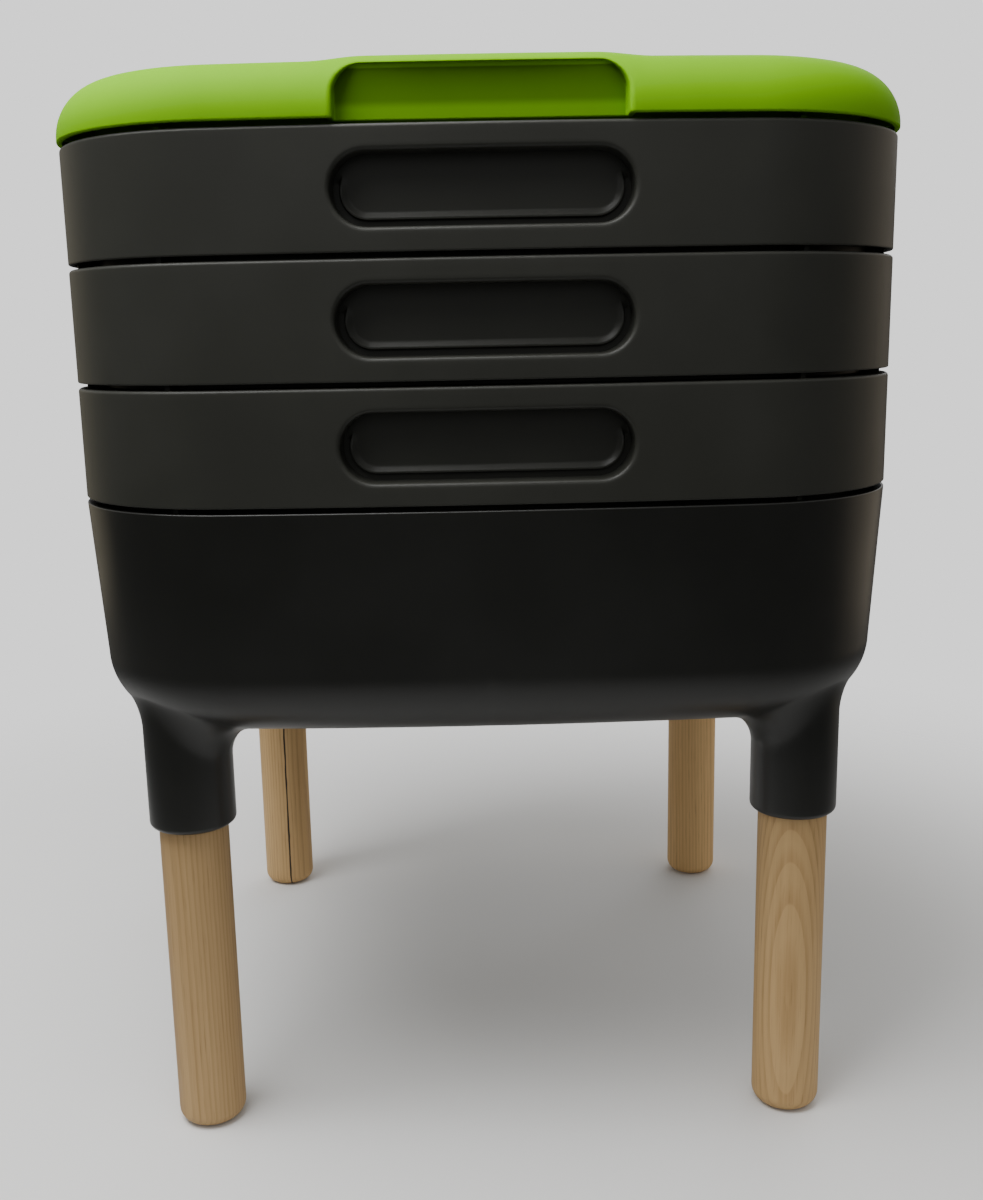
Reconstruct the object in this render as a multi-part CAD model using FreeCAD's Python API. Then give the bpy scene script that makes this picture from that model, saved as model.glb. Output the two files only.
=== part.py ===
import FreeCAD, Part
import math
import os

from FreeCAD import Vector

# A stacking wormery. Three nesting trays stand in a collector bowl on four round legs, under a domed lid.
# Millimetres. +X is to the right, +Y towards the tap at the back, +Z up.
# The origin is on the floor, under the centre of the bowl.

# Footprint that every moulding shares: a square with round corners and slightly bowed sides
BODY_WIDTH = 390.0
CORNER_RADIUS = 82.6
SIDE_RADIUS = 1640.0

# Legs: dowels pushed into the sockets of the bowl
LEG_DIAMETER = 33.0
LEG_LENGTH = 207.0
LEG_INSET = 49.5
LEG_INSERTION = 50.0
LEG_FOOT_ROUNDING = 7.0
LEG_FIT = 0.05

# Collector bowl
BOWL_DEPTH = 105.0
BOWL_WALL = 3.0
BOWL_DRAFT_DEG = 3.4
BOWL_EDGE_RADIUS = 32.0
SOCKET_WALL = 4.1
SOCKET_LIP_RADIUS = 2.6
SEAT_GUSSET_WIDTH = 6.0
SEAT_GUSSET_DEPTH = 60.0

# Trays
TRAY_NAMES = ("lower_tray", "middle_tray", "upper_tray")
SKIRT_HEIGHT = 50.2
STACK_GAP = 2.3
SKIRT_WALL = 3.0
RIM_THICKNESS = 3.0
RIM_EDGE_RADIUS = 1.5
TUB_INSET = 12.0
TUB_WALL = 2.5
NEST_CLEARANCE = 0.8
NEST_DEPTH = 20.0
TUB_FLOOR = 2.5

# Foot webs that join skirt to tub and stand on the rim of the piece below
WEB_THICKNESS = 2.5
WEB_ANGLE_DEG = 25.0
FOOT_OUTER_INSET = 4.0
SEAT_INNER_INSET = 14.0

# Finger pockets in the front and back of each tray
POCKET_WIDTH = 123.5
POCKET_HEIGHT = 29.0
POCKET_DEPTH = 11.0
POCKET_DROP = 26.3
POCKET_WALL = 2.5
POCKET_MOUTH_RADIUS = 1.5
POCKET_FLOOR_RADIUS = 4.0

# Drain slots in each tray floor
SLOT_LENGTH = 48.0
SLOT_WIDTH = 4.0
SLOT_COLUMNS = 4
SLOT_ROWS = 6
SLOT_PITCH_X = 70.0
SLOT_PITCH_Y = 48.0

# Lid
LID_OVERHANG = 0.9
LID_EDGE_HEIGHT = 25.2
LID_CROWN = 4.0
LID_WALL = 2.5
LID_EDGE_RADIUS = 24.0
RECESS_WIDTH = 120.0
RECESS_DEPTH = 13.0
RECESS_HEIGHT = 20.6
RECESS_CORNER_RADIUS = 11.0
RING_WALL = 2.5
RING_DEPTH = 8.0
RING_CLEARANCE = 1.2

# Drain tap in the back wall of the bowl
TAP_HEIGHT = 29.0
TAP_BOSS_RADIUS = 20.0
TAP_BOSS_PROUD = 2.5
TAP_PAD_RADIUS = 14.5
TAP_PAD_INSET = 14.0
TAIL_RADIUS = 8.0
TAIL_FIT = 0.4
TAIL_LENGTH = 32.0
WATERWAY_RADIUS = 4.0
WASHER_THICKNESS = 2.0
WASHER_OUTER_RADIUS = 13.0
WASHER_FIT = 0.3
FLANGE_RADIUS = 15.0
FLANGE_THICKNESS = 3.0
NUT_ACROSS_FLATS = 24.0
NUT_THICKNESS = 7.0
NUT_FIT = 0.1
BARREL_RADIUS = 9.0
COCK_REACH = 18.0
COCK_RADIUS = 9.5
COCK_HEIGHT = 24.0
PLUG_RADIUS = 6.0
PLUG_FIT = 0.05
PLUG_FLOOR = 4.0
SPOUT_RADIUS = 6.5
SPOUT_LENGTH = 20.0
SEAL_SECTION = 1.6
SEAL_FIT = 0.05
LEVER_LENGTH = 34.0
LEVER_WIDTH = 9.0
LEVER_THICKNESS = 5.0
LEVER_CORNER = 2.0
LEVER_GAP = 0.5
SEAL_RISE = 7.5

# Places worked out from the sizes above
HALF = BODY_WIDTH / 2
UNDERSIDE_Z = LEG_LENGTH
SOCKET_MOUTH_Z = LEG_LENGTH - LEG_INSERTION
BOWL_RIM_Z = UNDERSIDE_Z + BOWL_DEPTH
BOWL_SLOPE = math.tan(math.radians(BOWL_DRAFT_DEG))
TRAY_PITCH = SKIRT_HEIGHT + STACK_GAP
TUB_STEP = TUB_WALL + NEST_CLEARANCE
LEG_AXIS = HALF - LEG_INSET
TRAYS = len(TRAY_NAMES)
LID_SKIRT_Z = BOWL_RIM_Z + TRAYS * TRAY_PITCH + STACK_GAP
TOP_RIM_Z = LID_SKIRT_Z - STACK_GAP
OVERLAP = 0.5
MOUTH_LIFT = 0.15
EDGE_CHORD_COUNT = 1
POCKET_CHORD_COUNT = 1
ROUNDING_CHORD_COUNT = 3
POCKET_LEAD = 2.0
CUT_TOLERANCE = 0.001
CUT_MARGIN = 1.0
SAME_PLACE = 1e-6
PLATE_SHARE = 0.7
NUT_SIDES = 6
TAP_Z = UNDERSIDE_Z + TAP_HEIGHT
TAP_FACE_Y = HALF - BOWL_SLOPE * (BOWL_RIM_Z - TAP_Z) + TAP_BOSS_PROUD
TAP_PAD_Y = HALF - TAP_PAD_INSET
SEAL_Z = TAP_Z + SEAL_RISE
UP = Vector(0, 0, 1)
BACK = Vector(0, 1, 0)
RIGHT = Vector(1, 0, 0)
CENTRE = Vector(0, 0, 0)


# Flat sections

def rounded_face(corners, chords=0):
    """Face in the XZ plane. Each corner is (x, z) or (x, z, radius of its rounding).

    A rounding is one true arc, or that many straight chords of it where chords is given.
    """
    count = len(corners)
    tracks = []
    for index, corner in enumerate(corners):
        here = Vector(corner[0], 0, corner[1])
        radius = corner[2] if len(corner) > 2 else 0.0
        if radius == 0.0:
            tracks.append([here])
            continue
        before = corners[index - 1]
        after = corners[(index + 1) % count]
        towards_before = (Vector(before[0], 0, before[1]) - here).normalize()
        towards_after = (Vector(after[0], 0, after[1]) - here).normalize()
        half_angle = towards_before.getAngle(towards_after) / 2
        reach = radius / math.tan(half_angle)
        bisector = (towards_before + towards_after).normalize()
        middle = here + bisector * (radius / math.sin(half_angle) - radius)
        arc = Part.Arc(here + towards_before * reach, middle, here + towards_after * reach)
        if chords == 0:
            tracks.append(arc)
            continue
        span = arc.LastParameter - arc.FirstParameter
        points = [arc.value(arc.FirstParameter + span * step / chords) for step in range(chords + 1)]
        if (points[0] - (here + towards_before * reach)).Length > SAME_PLACE:
            points.reverse()
        tracks.append(points)
    edges = []
    ends = []
    for track in tracks:
        if isinstance(track, list):
            edges += [Part.LineSegment(first, last).toShape() for first, last in zip(track, track[1:])]
            ends.append((track[0], track[-1]))
        else:
            edges.append(track.toShape())
            ends.append((track.StartPoint, track.EndPoint))
    for index in range(count):
        start = ends[index][1]
        finish = ends[(index + 1) % count][0]
        if (finish - start).Length > SAME_PLACE:
            edges.append(Part.LineSegment(start, finish).toShape())
    return Part.Face(Part.Wire(Part.__sortEdges__(edges)))


# The shared footprint

def corner_offset():
    """Distance of each corner arc's centre from the X and Y axes."""
    side_centre = SIDE_RADIUS - HALF
    reach = SIDE_RADIUS - CORNER_RADIUS
    return (math.sqrt(2 * reach ** 2 - side_centre ** 2) - side_centre) / 2


CORNER_AT = corner_offset()
SIDE_HALF_ANGLE = math.degrees(math.atan2(CORNER_AT, SIDE_RADIUS - HALF + CORNER_AT))


def footprint_arcs():
    """Centre, radius, first angle and sweep of the eight tangent arcs round the footprint."""
    arcs = []
    for quarter in range(4):
        turn = 90 * quarter
        side_centre = Vector(HALF - SIDE_RADIUS, 0, 0)
        corner_centre = Vector(CORNER_AT, CORNER_AT, 0)
        spin = FreeCAD.Rotation(UP, turn)
        arcs.append((spin.multVec(side_centre), SIDE_RADIUS,
                     turn - SIDE_HALF_ANGLE, 2 * SIDE_HALF_ANGLE))
        arcs.append((spin.multVec(corner_centre), CORNER_RADIUS,
                     turn + SIDE_HALF_ANGLE, 90 - 2 * SIDE_HALF_ANGLE))
    return arcs


def place_section(shape, centre, radius, angle):
    """Put a section, drawn with X as minus the inset, at one angle of a footprint arc."""
    placed = shape.copy()
    placed.translate(Vector(radius, 0, 0))
    placed.rotate(CENTRE, UP, angle)
    placed.translate(centre)
    return placed


def sweep_round(corners, chords=0):
    """Sweep a section, given as (inset, z, rounding) corners, all the way round the footprint."""
    section = rounded_face([(-corner[0],) + tuple(corner[1:]) for corner in corners], chords)
    pieces = []
    for centre, radius, start, sweep in footprint_arcs():
        face = place_section(section, centre, radius, start)
        pieces.append(face.revolve(centre, UP, sweep))
    return pieces[0].multiFuse(pieces[1:]).removeSplitter()


def footprint_wire(inset, z):
    """Closed footprint outline, drawn in by an inset, at one height."""
    edges = []
    for centre, radius, start, sweep in footprint_arcs():
        circle = Part.Circle(centre + Vector(0, 0, z), UP, radius - inset)
        first = math.radians(start)
        edges.append(Part.ArcOfCircle(circle, first, first + math.radians(sweep)).toShape())
    return Part.Wire(Part.__sortEdges__(edges))


def footprint_prism(inset, low_z, high_z):
    """Solid slab with the footprint's outline."""
    return Part.Face(footprint_wire(inset, low_z)).extrude(Vector(0, 0, high_z - low_z))


PLATE_INSET = CORNER_RADIUS * PLATE_SHARE


def swept_solid(corners, low_z, high_z, chords=0):
    """Filled solid: the section swept round, with the plate that closes its middle."""
    ring = sweep_round(corners, chords)
    return ring.fuse(footprint_prism(PLATE_INSET, low_z, high_z)).removeSplitter()


def corner_webs(corners, thickness):
    """Eight radial plates, two at each corner, from a section given as (inset, z) corners."""
    section = rounded_face([(-corner[0],) + tuple(corner[1:]) for corner in corners])
    section.translate(Vector(0, -thickness / 2, 0))
    plate = section.extrude(Vector(0, thickness, 0))
    plates = []
    for quarter in range(4):
        spin = FreeCAD.Rotation(UP, 90 * quarter)
        centre = spin.multVec(Vector(CORNER_AT, CORNER_AT, 0))
        for side in (-1, 1):
            angle = 90 * quarter + 45 + side * WEB_ANGLE_DEG
            plates.append(place_section(plate, centre, CORNER_RADIUS, angle))
    return plates


def front_and_back(shape):
    """A shape made at the front and its copy turned to the back."""
    turned = shape.copy()
    turned.rotate(CENTRE, UP, 180)
    return [shape, turned]


# Trays

def along_pocket(corners, z):
    """Solid made by taking a section round a pill shape that follows the bowed front.

    Each corner is (distance from the pill's middle line, depth behind the face, rounding).
    """
    turned = [(corner[0], -corner[1]) + tuple(corner[2:]) for corner in corners]
    section = rounded_face(turned, POCKET_CHORD_COUNT)
    straight = POCKET_WIDTH / 2 - POCKET_HEIGHT / 2
    half_angle = math.degrees(straight / SIDE_RADIUS)
    side_centre = Vector(0, SIDE_RADIUS - HALF, z)
    pieces = []
    for side in (-1, 1):
        end = section.revolve(CENTRE, UP, 360)
        end.rotate(CENTRE, RIGHT, 90)
        end.translate(Vector(0, -HALF, z))
        end.rotate(side_centre, UP, side * half_angle)
        pieces.append(end)
    outline = [(-corner[1], corner[0]) + tuple(corner[2:]) for corner in corners]
    mirrored = [(corner[0], -corner[1]) + tuple(corner[2:]) for corner in reversed(outline)]
    across = [corner for corner in outline if corner[1] > 0]
    across += [corner for corner in mirrored if corner[1] < 0]
    middle = rounded_face(across, POCKET_CHORD_COUNT)
    middle.rotate(CENTRE, UP, -90)
    middle.translate(Vector(0, -HALF, z))
    middle.rotate(side_centre, UP, -half_angle)
    pieces.append(middle.revolve(side_centre, UP, 2 * half_angle))
    return pieces[0].multiFuse(pieces[1:]).removeSplitter()


def pocket_cavity(z):
    """Pill pocket with an eased mouth and floor."""
    mouth = POCKET_HEIGHT / 2
    return along_pocket([
        (0, -POCKET_LEAD),
        (mouth + 2 * POCKET_MOUTH_RADIUS, -POCKET_LEAD),
        (mouth + 2 * POCKET_MOUTH_RADIUS, -MOUTH_LIFT),
        (mouth, -MOUTH_LIFT, POCKET_MOUTH_RADIUS),
        (mouth, POCKET_DEPTH, POCKET_FLOOR_RADIUS),
        (0, POCKET_DEPTH),
    ], z)


def pocket_cup(z):
    """Wall round the pocket, from inside the skirt's wall inwards."""
    outer = POCKET_HEIGHT / 2 + POCKET_WALL
    return along_pocket([
        (0, SKIRT_WALL - OVERLAP),
        (outer, SKIRT_WALL - OVERLAP),
        (outer, POCKET_DEPTH + POCKET_WALL),
        (0, POCKET_DEPTH + POCKET_WALL),
    ], z)


def drain_slots(low_z):
    """Rows of slots that go through the tray's floor."""
    slots = []
    for column in range(SLOT_COLUMNS):
        for row in range(SLOT_ROWS):
            x = (column - (SLOT_COLUMNS - 1) / 2) * SLOT_PITCH_X
            y = (row - (SLOT_ROWS - 1) / 2) * SLOT_PITCH_Y
            corner = Vector(x - SLOT_LENGTH / 2, y - SLOT_WIDTH / 2, low_z - CUT_MARGIN)
            slots.append(Part.makeBox(SLOT_LENGTH, SLOT_WIDTH, TUB_FLOOR + 2 * CUT_MARGIN, corner))
    return slots


def make_tray(skirt_z):
    """One tray, from the height of its skirt's lower edge."""
    rim_z = skirt_z + SKIRT_HEIGHT
    floor_low = skirt_z - STACK_GAP - NEST_DEPTH
    floor_high = floor_low + TUB_FLOOR
    rim_under = rim_z - RIM_THICKNESS
    foot_z = skirt_z - STACK_GAP
    nest_inset = TUB_INSET + TUB_STEP
    section = [
        (0, skirt_z),
        (0, rim_z, RIM_EDGE_RADIUS),
        (TUB_INSET + TUB_WALL, rim_z),
        (TUB_INSET + TUB_WALL, foot_z + TUB_WALL),
        (nest_inset + TUB_WALL, foot_z + TUB_WALL),
        (nest_inset + TUB_WALL, floor_high),
        (PLATE_INSET, floor_high),
        (PLATE_INSET, floor_low),
        (nest_inset, floor_low),
        (nest_inset, foot_z),
        (TUB_INSET, foot_z),
        (TUB_INSET, rim_under),
        (SKIRT_WALL, rim_under),
        (SKIRT_WALL, skirt_z),
    ]
    tray = swept_solid(section, floor_low, floor_high, EDGE_CHORD_COUNT)
    web = [
        (SKIRT_WALL - OVERLAP, rim_under + OVERLAP),
        (SKIRT_WALL - OVERLAP, skirt_z + OVERLAP),
        (FOOT_OUTER_INSET, skirt_z),
        (FOOT_OUTER_INSET, foot_z),
        (TUB_INSET + OVERLAP, foot_z),
        (TUB_INSET + OVERLAP, rim_under + OVERLAP),
    ]
    pocket_z = rim_z - POCKET_DROP
    tray = tray.multiFuse(corner_webs(web, WEB_THICKNESS) + front_and_back(pocket_cup(pocket_z)))
    tray = tray.cut(drain_slots(floor_low) + front_and_back(pocket_cavity(pocket_z)), CUT_TOLERANCE)
    return tray.removeSplitter()


# Collector bowl

def bowl_wall_inset(z):
    """Inset of the bowl's outer face at a height."""
    return BOWL_SLOPE * (BOWL_RIM_Z - z)


def bowl_solid(wall):
    """Filled bowl shape, drawn in by a wall on its sides and bottom."""
    low = UNDERSIDE_Z + wall
    high = BOWL_RIM_Z + (CUT_MARGIN if wall else 0.0)
    section = [
        (bowl_wall_inset(high) + wall, high),
        (PLATE_INSET, high),
        (PLATE_INSET, low),
        (bowl_wall_inset(low) + wall, low, BOWL_EDGE_RADIUS - wall),
    ]
    return swept_solid(section, low, high, ROUNDING_CHORD_COUNT)


def leg_places():
    """Name and axis of each leg."""
    places = {}
    for end, y in (("front", -LEG_AXIS), ("rear", LEG_AXIS)):
        for side, x in (("left", -LEG_AXIS), ("right", LEG_AXIS)):
            places[end + "_" + side + "_leg"] = Vector(x, y, 0)
    return places


def leg_socket(axis):
    """Round post that carries a leg, with an eased lip at its mouth. It runs up inside the bowl's edge."""
    radius = LEG_DIAMETER / 2 + SOCKET_WALL
    root_z = UNDERSIDE_Z + BOWL_EDGE_RADIUS / 2
    section = rounded_face([(0, SOCKET_MOUTH_Z), (radius, SOCKET_MOUTH_Z, SOCKET_LIP_RADIUS),
                            (radius, root_z), (0, root_z)], EDGE_CHORD_COUNT)
    socket = section.revolve(CENTRE, UP, 360)
    socket.translate(axis)
    return socket


def make_bowl():
    """The collector: bowl, leg sockets, seats for the lowest tray and bosses for the tap."""
    sockets = [leg_socket(axis) for axis in leg_places().values()]
    boss = Part.makeCylinder(TAP_BOSS_RADIUS, TAP_PAD_INSET,
                             Vector(0, TAP_FACE_Y - TAP_PAD_INSET, TAP_Z), BACK)
    bowl = bowl_solid(0.0).multiFuse(sockets + [boss])
    bowl = bowl.cut(bowl_solid(BOWL_WALL))
    pad = Part.makeCylinder(TAP_PAD_RADIUS, TAP_FACE_Y - TAP_PAD_Y, Vector(0, TAP_PAD_Y, TAP_Z), BACK)
    gusset = [
        (bowl_wall_inset(BOWL_RIM_Z) + OVERLAP, BOWL_RIM_Z),
        (SEAT_INNER_INSET, BOWL_RIM_Z),
        (SEAT_INNER_INSET, BOWL_RIM_Z - SEAT_GUSSET_WIDTH),
        (bowl_wall_inset(BOWL_RIM_Z - SEAT_GUSSET_DEPTH) + BOWL_WALL - OVERLAP,
         BOWL_RIM_Z - SEAT_GUSSET_DEPTH),
        (bowl_wall_inset(BOWL_RIM_Z - SEAT_GUSSET_DEPTH) + OVERLAP, BOWL_RIM_Z - SEAT_GUSSET_DEPTH),
    ]
    bowl = bowl.multiFuse(corner_webs(gusset, SEAT_GUSSET_WIDTH) + [pad])
    holes = [Part.makeCylinder(LEG_DIAMETER / 2 + LEG_FIT, LEG_INSERTION + CUT_MARGIN,
                               axis + Vector(0, 0, SOCKET_MOUTH_Z - CUT_MARGIN))
             for axis in leg_places().values()]
    holes.append(Part.makeCylinder(TAIL_RADIUS + TAIL_FIT, TAP_FACE_Y - TAP_PAD_Y + 2 * CUT_MARGIN,
                                   Vector(0, TAP_PAD_Y - CUT_MARGIN, TAP_Z), BACK))
    return bowl.cut(holes).removeSplitter()


# Legs

def make_leg(axis):
    """Round dowel with a softened foot and a chamfered top."""
    radius = LEG_DIAMETER / 2
    section = rounded_face([(0, 0), (radius, 0, LEG_FOOT_ROUNDING), (radius, LEG_LENGTH),
                            (0, LEG_LENGTH)], EDGE_CHORD_COUNT)
    leg = section.revolve(CENTRE, UP, 360)
    leg.translate(axis)
    return leg


# Lid

def lid_solid(wall):
    """Filled lid shape, drawn in by a wall on its top and sides."""
    low = LID_SKIRT_Z if wall == 0.0 else TOP_RIM_Z - RING_DEPTH - CUT_MARGIN
    shoulder = LID_SKIRT_Z + LID_EDGE_HEIGHT - wall
    side = wall - LID_OVERHANG
    section = [
        (side, low),
        (side, shoulder, LID_EDGE_RADIUS - wall),
        (LID_EDGE_RADIUS - LID_OVERHANG + OVERLAP, shoulder),
        (PLATE_INSET, shoulder + LID_CROWN),
        (PLATE_INSET, low),
    ]
    return swept_solid(section, low, shoulder + LID_CROWN, ROUNDING_CHORD_COUNT)


def recess_block(growth, depth, low, high):
    """Arched block for a finger recess at the front, or for the wall round it."""
    half_width = RECESS_WIDTH / 2 + growth
    corner = RECESS_CORNER_RADIUS + growth
    face = rounded_face([(-half_width, low), (half_width, low), (half_width, high, corner),
                         (-half_width, high, corner)])
    front = -HALF - LID_OVERHANG - CUT_MARGIN
    face.translate(Vector(0, front, 0))
    return face.extrude(Vector(0, -HALF - LID_OVERHANG + depth - front, 0))


def make_lid():
    """Crowned lid with a locating ring, foot webs and two finger recesses."""
    limit = lid_solid(LID_WALL / 2)
    top = LID_SKIRT_Z + LID_EDGE_HEIGHT
    ring_inset = TUB_INSET + TUB_WALL + RING_CLEARANCE
    ring_low = TOP_RIM_Z - RING_DEPTH
    ring = footprint_prism(ring_inset, ring_low, top)
    ring = ring.cut(footprint_prism(ring_inset + RING_WALL, ring_low - CUT_MARGIN, top + CUT_MARGIN))
    side = LID_WALL - LID_OVERHANG - OVERLAP
    web = [(side, LID_SKIRT_Z), (FOOT_OUTER_INSET, LID_SKIRT_Z), (FOOT_OUTER_INSET, TOP_RIM_Z),
           (SEAT_INNER_INSET, TOP_RIM_Z), (ring_inset + OVERLAP, LID_SKIRT_Z), (ring_inset + OVERLAP, top),
           (side, top)]
    recess_top = LID_SKIRT_Z + RECESS_HEIGHT
    cups = front_and_back(recess_block(LID_WALL, RECESS_DEPTH + LID_WALL, TOP_RIM_Z, recess_top + LID_WALL))
    inside = ring.multiFuse(corner_webs(web, WEB_THICKNESS) + cups).common(limit)
    lid = lid_solid(0.0).cut(lid_solid(LID_WALL))
    lid = lid.multiFuse(inside.Solids)
    lid = lid.cut(front_and_back(recess_block(0.0, RECESS_DEPTH, TOP_RIM_Z - CUT_MARGIN, recess_top)))
    return lid.removeSplitter()


# Drain tap

def tap_cylinder(radius, start, length):
    """Cylinder along the tap's axis, from a Y place."""
    return Part.makeCylinder(radius, length, Vector(0, start, TAP_Z), BACK)


def tap_ring(outer, inner, start, length):
    """Ring on the tap's axis."""
    bore = tap_cylinder(inner, start - CUT_MARGIN, length + 2 * CUT_MARGIN)
    return tap_cylinder(outer, start, length).cut(bore)


FLANGE_Y = TAP_FACE_Y + WASHER_THICKNESS
COCK_Y = FLANGE_Y + FLANGE_THICKNESS + COCK_REACH
COCK_TOP_Z = TAP_Z + COCK_HEIGHT / 2
COCK_LOW_Z = TAP_Z - COCK_HEIGHT / 2
SPOUT_MOUTH_Z = COCK_LOW_Z - SPOUT_LENGTH


def cock_cylinder(radius, low_z, high_z):
    """Upright cylinder on the axis of the tap's plug."""
    return Part.makeCylinder(radius, high_z - low_z, Vector(0, COCK_Y, low_z), UP)


def make_tap_body():
    """Flange, threaded tail, upright cock and downward spout, bored for the plug and the water."""
    tail_start = FLANGE_Y - TAIL_LENGTH
    body = tap_cylinder(TAIL_RADIUS, tail_start, TAIL_LENGTH + FLANGE_THICKNESS)
    body = body.multiFuse([
        tap_cylinder(FLANGE_RADIUS, FLANGE_Y, FLANGE_THICKNESS),
        tap_cylinder(BARREL_RADIUS, FLANGE_Y, FLANGE_THICKNESS + COCK_REACH),
        cock_cylinder(COCK_RADIUS, COCK_LOW_Z, COCK_TOP_Z),
        cock_cylinder(SPOUT_RADIUS, SPOUT_MOUTH_Z, TAP_Z),
    ])
    body = body.cut([
        tap_cylinder(WATERWAY_RADIUS, tail_start - CUT_MARGIN, COCK_Y - tail_start + CUT_MARGIN),
        cock_cylinder(PLUG_RADIUS + PLUG_FIT, COCK_LOW_Z + PLUG_FLOOR, COCK_TOP_Z + CUT_MARGIN),
        cock_cylinder(WATERWAY_RADIUS, SPOUT_MOUTH_Z - CUT_MARGIN, TAP_Z),
    ])
    return body.removeSplitter()


def make_tap_lever():
    """Turning plug with its port, and the handle that lies across the tap when shut."""
    plug_low = COCK_LOW_Z + PLUG_FLOOR
    plug = cock_cylinder(PLUG_RADIUS, plug_low, COCK_TOP_Z)
    groove_low = SEAL_Z - SEAL_SECTION / 2
    groove_high = groove_low + SEAL_SECTION
    groove = cock_cylinder(PLUG_RADIUS + CUT_MARGIN, groove_low, groove_high)
    core = cock_cylinder(PLUG_RADIUS - SEAL_SECTION, groove_low - CUT_MARGIN, groove_high + CUT_MARGIN)
    groove = groove.cut(core)
    port = Part.makeCylinder(WATERWAY_RADIUS, PLUG_RADIUS + CUT_MARGIN, Vector(0, COCK_Y, TAP_Z), RIGHT)
    drain = cock_cylinder(WATERWAY_RADIUS, plug_low - CUT_MARGIN, TAP_Z)
    plug = plug.cut([groove, port, drain])
    head_low = COCK_TOP_Z + LEVER_GAP
    neck = cock_cylinder(PLUG_RADIUS, COCK_TOP_Z, head_low)
    outline = rounded_face([(-LEVER_LENGTH / 2, -LEVER_WIDTH / 2, LEVER_CORNER),
                            (LEVER_LENGTH / 2, -LEVER_WIDTH / 2, LEVER_CORNER),
                            (LEVER_LENGTH / 2, LEVER_WIDTH / 2, LEVER_CORNER),
                            (-LEVER_LENGTH / 2, LEVER_WIDTH / 2, LEVER_CORNER)])
    outline.rotate(CENTRE, RIGHT, 90)
    outline.translate(Vector(0, COCK_Y, head_low))
    handle = outline.extrude(Vector(0, 0, LEVER_THICKNESS))
    hub = cock_cylinder(COCK_RADIUS, head_low, head_low + LEVER_THICKNESS)
    return plug.multiFuse([neck, handle, hub]).removeSplitter()


def make_plug_seal():
    """Rubber ring in the plug's groove."""
    low = SEAL_Z - SEAL_SECTION / 2
    high = low + SEAL_SECTION
    ring = cock_cylinder(PLUG_RADIUS, low, high)
    return ring.cut(cock_cylinder(PLUG_RADIUS - SEAL_SECTION + SEAL_FIT, low - CUT_MARGIN, high + CUT_MARGIN))


def make_tap_nut():
    """Hexagon nut on the tail, inside the bowl."""
    corner = NUT_ACROSS_FLATS / 2 / math.cos(math.pi / NUT_SIDES)
    start = TAP_PAD_Y - WASHER_THICKNESS - NUT_THICKNESS
    turns = [2 * math.pi * side / NUT_SIDES for side in range(NUT_SIDES + 1)]
    points = [Vector(corner * math.cos(turn), start, TAP_Z + corner * math.sin(turn)) for turn in turns]
    nut = Part.Face(Part.makePolygon(points)).extrude(Vector(0, NUT_THICKNESS, 0))
    return nut.cut(tap_cylinder(TAIL_RADIUS + NUT_FIT, start - CUT_MARGIN, NUT_THICKNESS + 2 * CUT_MARGIN))


# The whole wormery

def build():
    """Every piece, by the name of its node."""
    pieces = {"collector_base": make_bowl(), "lid": make_lid()}
    for name, axis in leg_places().items():
        pieces[name] = make_leg(axis)
    lowest = BOWL_RIM_Z + STACK_GAP
    tray = make_tray(lowest)
    for level, name in enumerate(TRAY_NAMES):
        placed = tray.copy()
        placed.translate(Vector(0, 0, level * TRAY_PITCH))
        pieces[name] = placed
    pieces["tap_body"] = make_tap_body()
    pieces["tap_lever"] = make_tap_lever()
    pieces["plug_seal"] = make_plug_seal()
    washer_bore = TAIL_RADIUS + WASHER_FIT
    pieces["outer_washer"] = tap_ring(WASHER_OUTER_RADIUS, washer_bore, TAP_FACE_Y, WASHER_THICKNESS)
    pieces["inner_washer"] = tap_ring(WASHER_OUTER_RADIUS, washer_bore, TAP_PAD_Y - WASHER_THICKNESS,
                                      WASHER_THICKNESS)
    pieces["tap_nut"] = make_tap_nut()
    return pieces


def single_solid(shape):
    """The one solid inside a compound."""
    solids = shape.Solids
    if len(solids) != 1:
        raise ValueError("a piece has {} solids".format(len(solids)))
    return solids[0]


def main():
    """Write one STEP file for each piece."""
    os.makedirs("parts", exist_ok=True)
    for name, shape in build().items():
        solid = single_solid(shape)
        solid.exportStep("parts/" + name + ".step")
        print(name, round(solid.Volume / 1000.0, 1), "cm3", "valid" if solid.isValid() else "NOT VALID")


if __name__ == "__main__":
    main()
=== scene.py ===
"""Stacking wormery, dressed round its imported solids.

Sizes are in millimetres until a mesh is made. +X is to the right, +Y towards the tap at the back, +Z up.
"""

import logging
import math
from dataclasses import dataclass, field
from enum import Enum
from typing import Any, Callable

import bmesh
import bpy
import numpy as np
from mathutils import Matrix, Vector


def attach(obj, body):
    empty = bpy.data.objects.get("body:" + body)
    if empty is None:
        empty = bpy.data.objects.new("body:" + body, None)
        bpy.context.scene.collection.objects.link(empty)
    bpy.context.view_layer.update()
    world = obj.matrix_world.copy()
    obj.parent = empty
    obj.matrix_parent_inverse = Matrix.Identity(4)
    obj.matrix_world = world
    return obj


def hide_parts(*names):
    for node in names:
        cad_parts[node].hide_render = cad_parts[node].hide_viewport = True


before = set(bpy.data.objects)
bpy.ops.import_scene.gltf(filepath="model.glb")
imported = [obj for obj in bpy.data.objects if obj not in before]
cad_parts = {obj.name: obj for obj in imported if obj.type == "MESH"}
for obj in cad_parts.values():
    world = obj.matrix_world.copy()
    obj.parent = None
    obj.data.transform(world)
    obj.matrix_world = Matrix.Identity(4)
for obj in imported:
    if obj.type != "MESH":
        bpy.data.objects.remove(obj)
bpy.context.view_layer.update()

log = logging.getLogger("wormery")

MM = 0.001
WELD = 0.000002
SHARP_ANGLE = math.radians(42.0)
RIGHT_ANGLE = math.pi / 2
TINY = 1e-9


# Node trees

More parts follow.
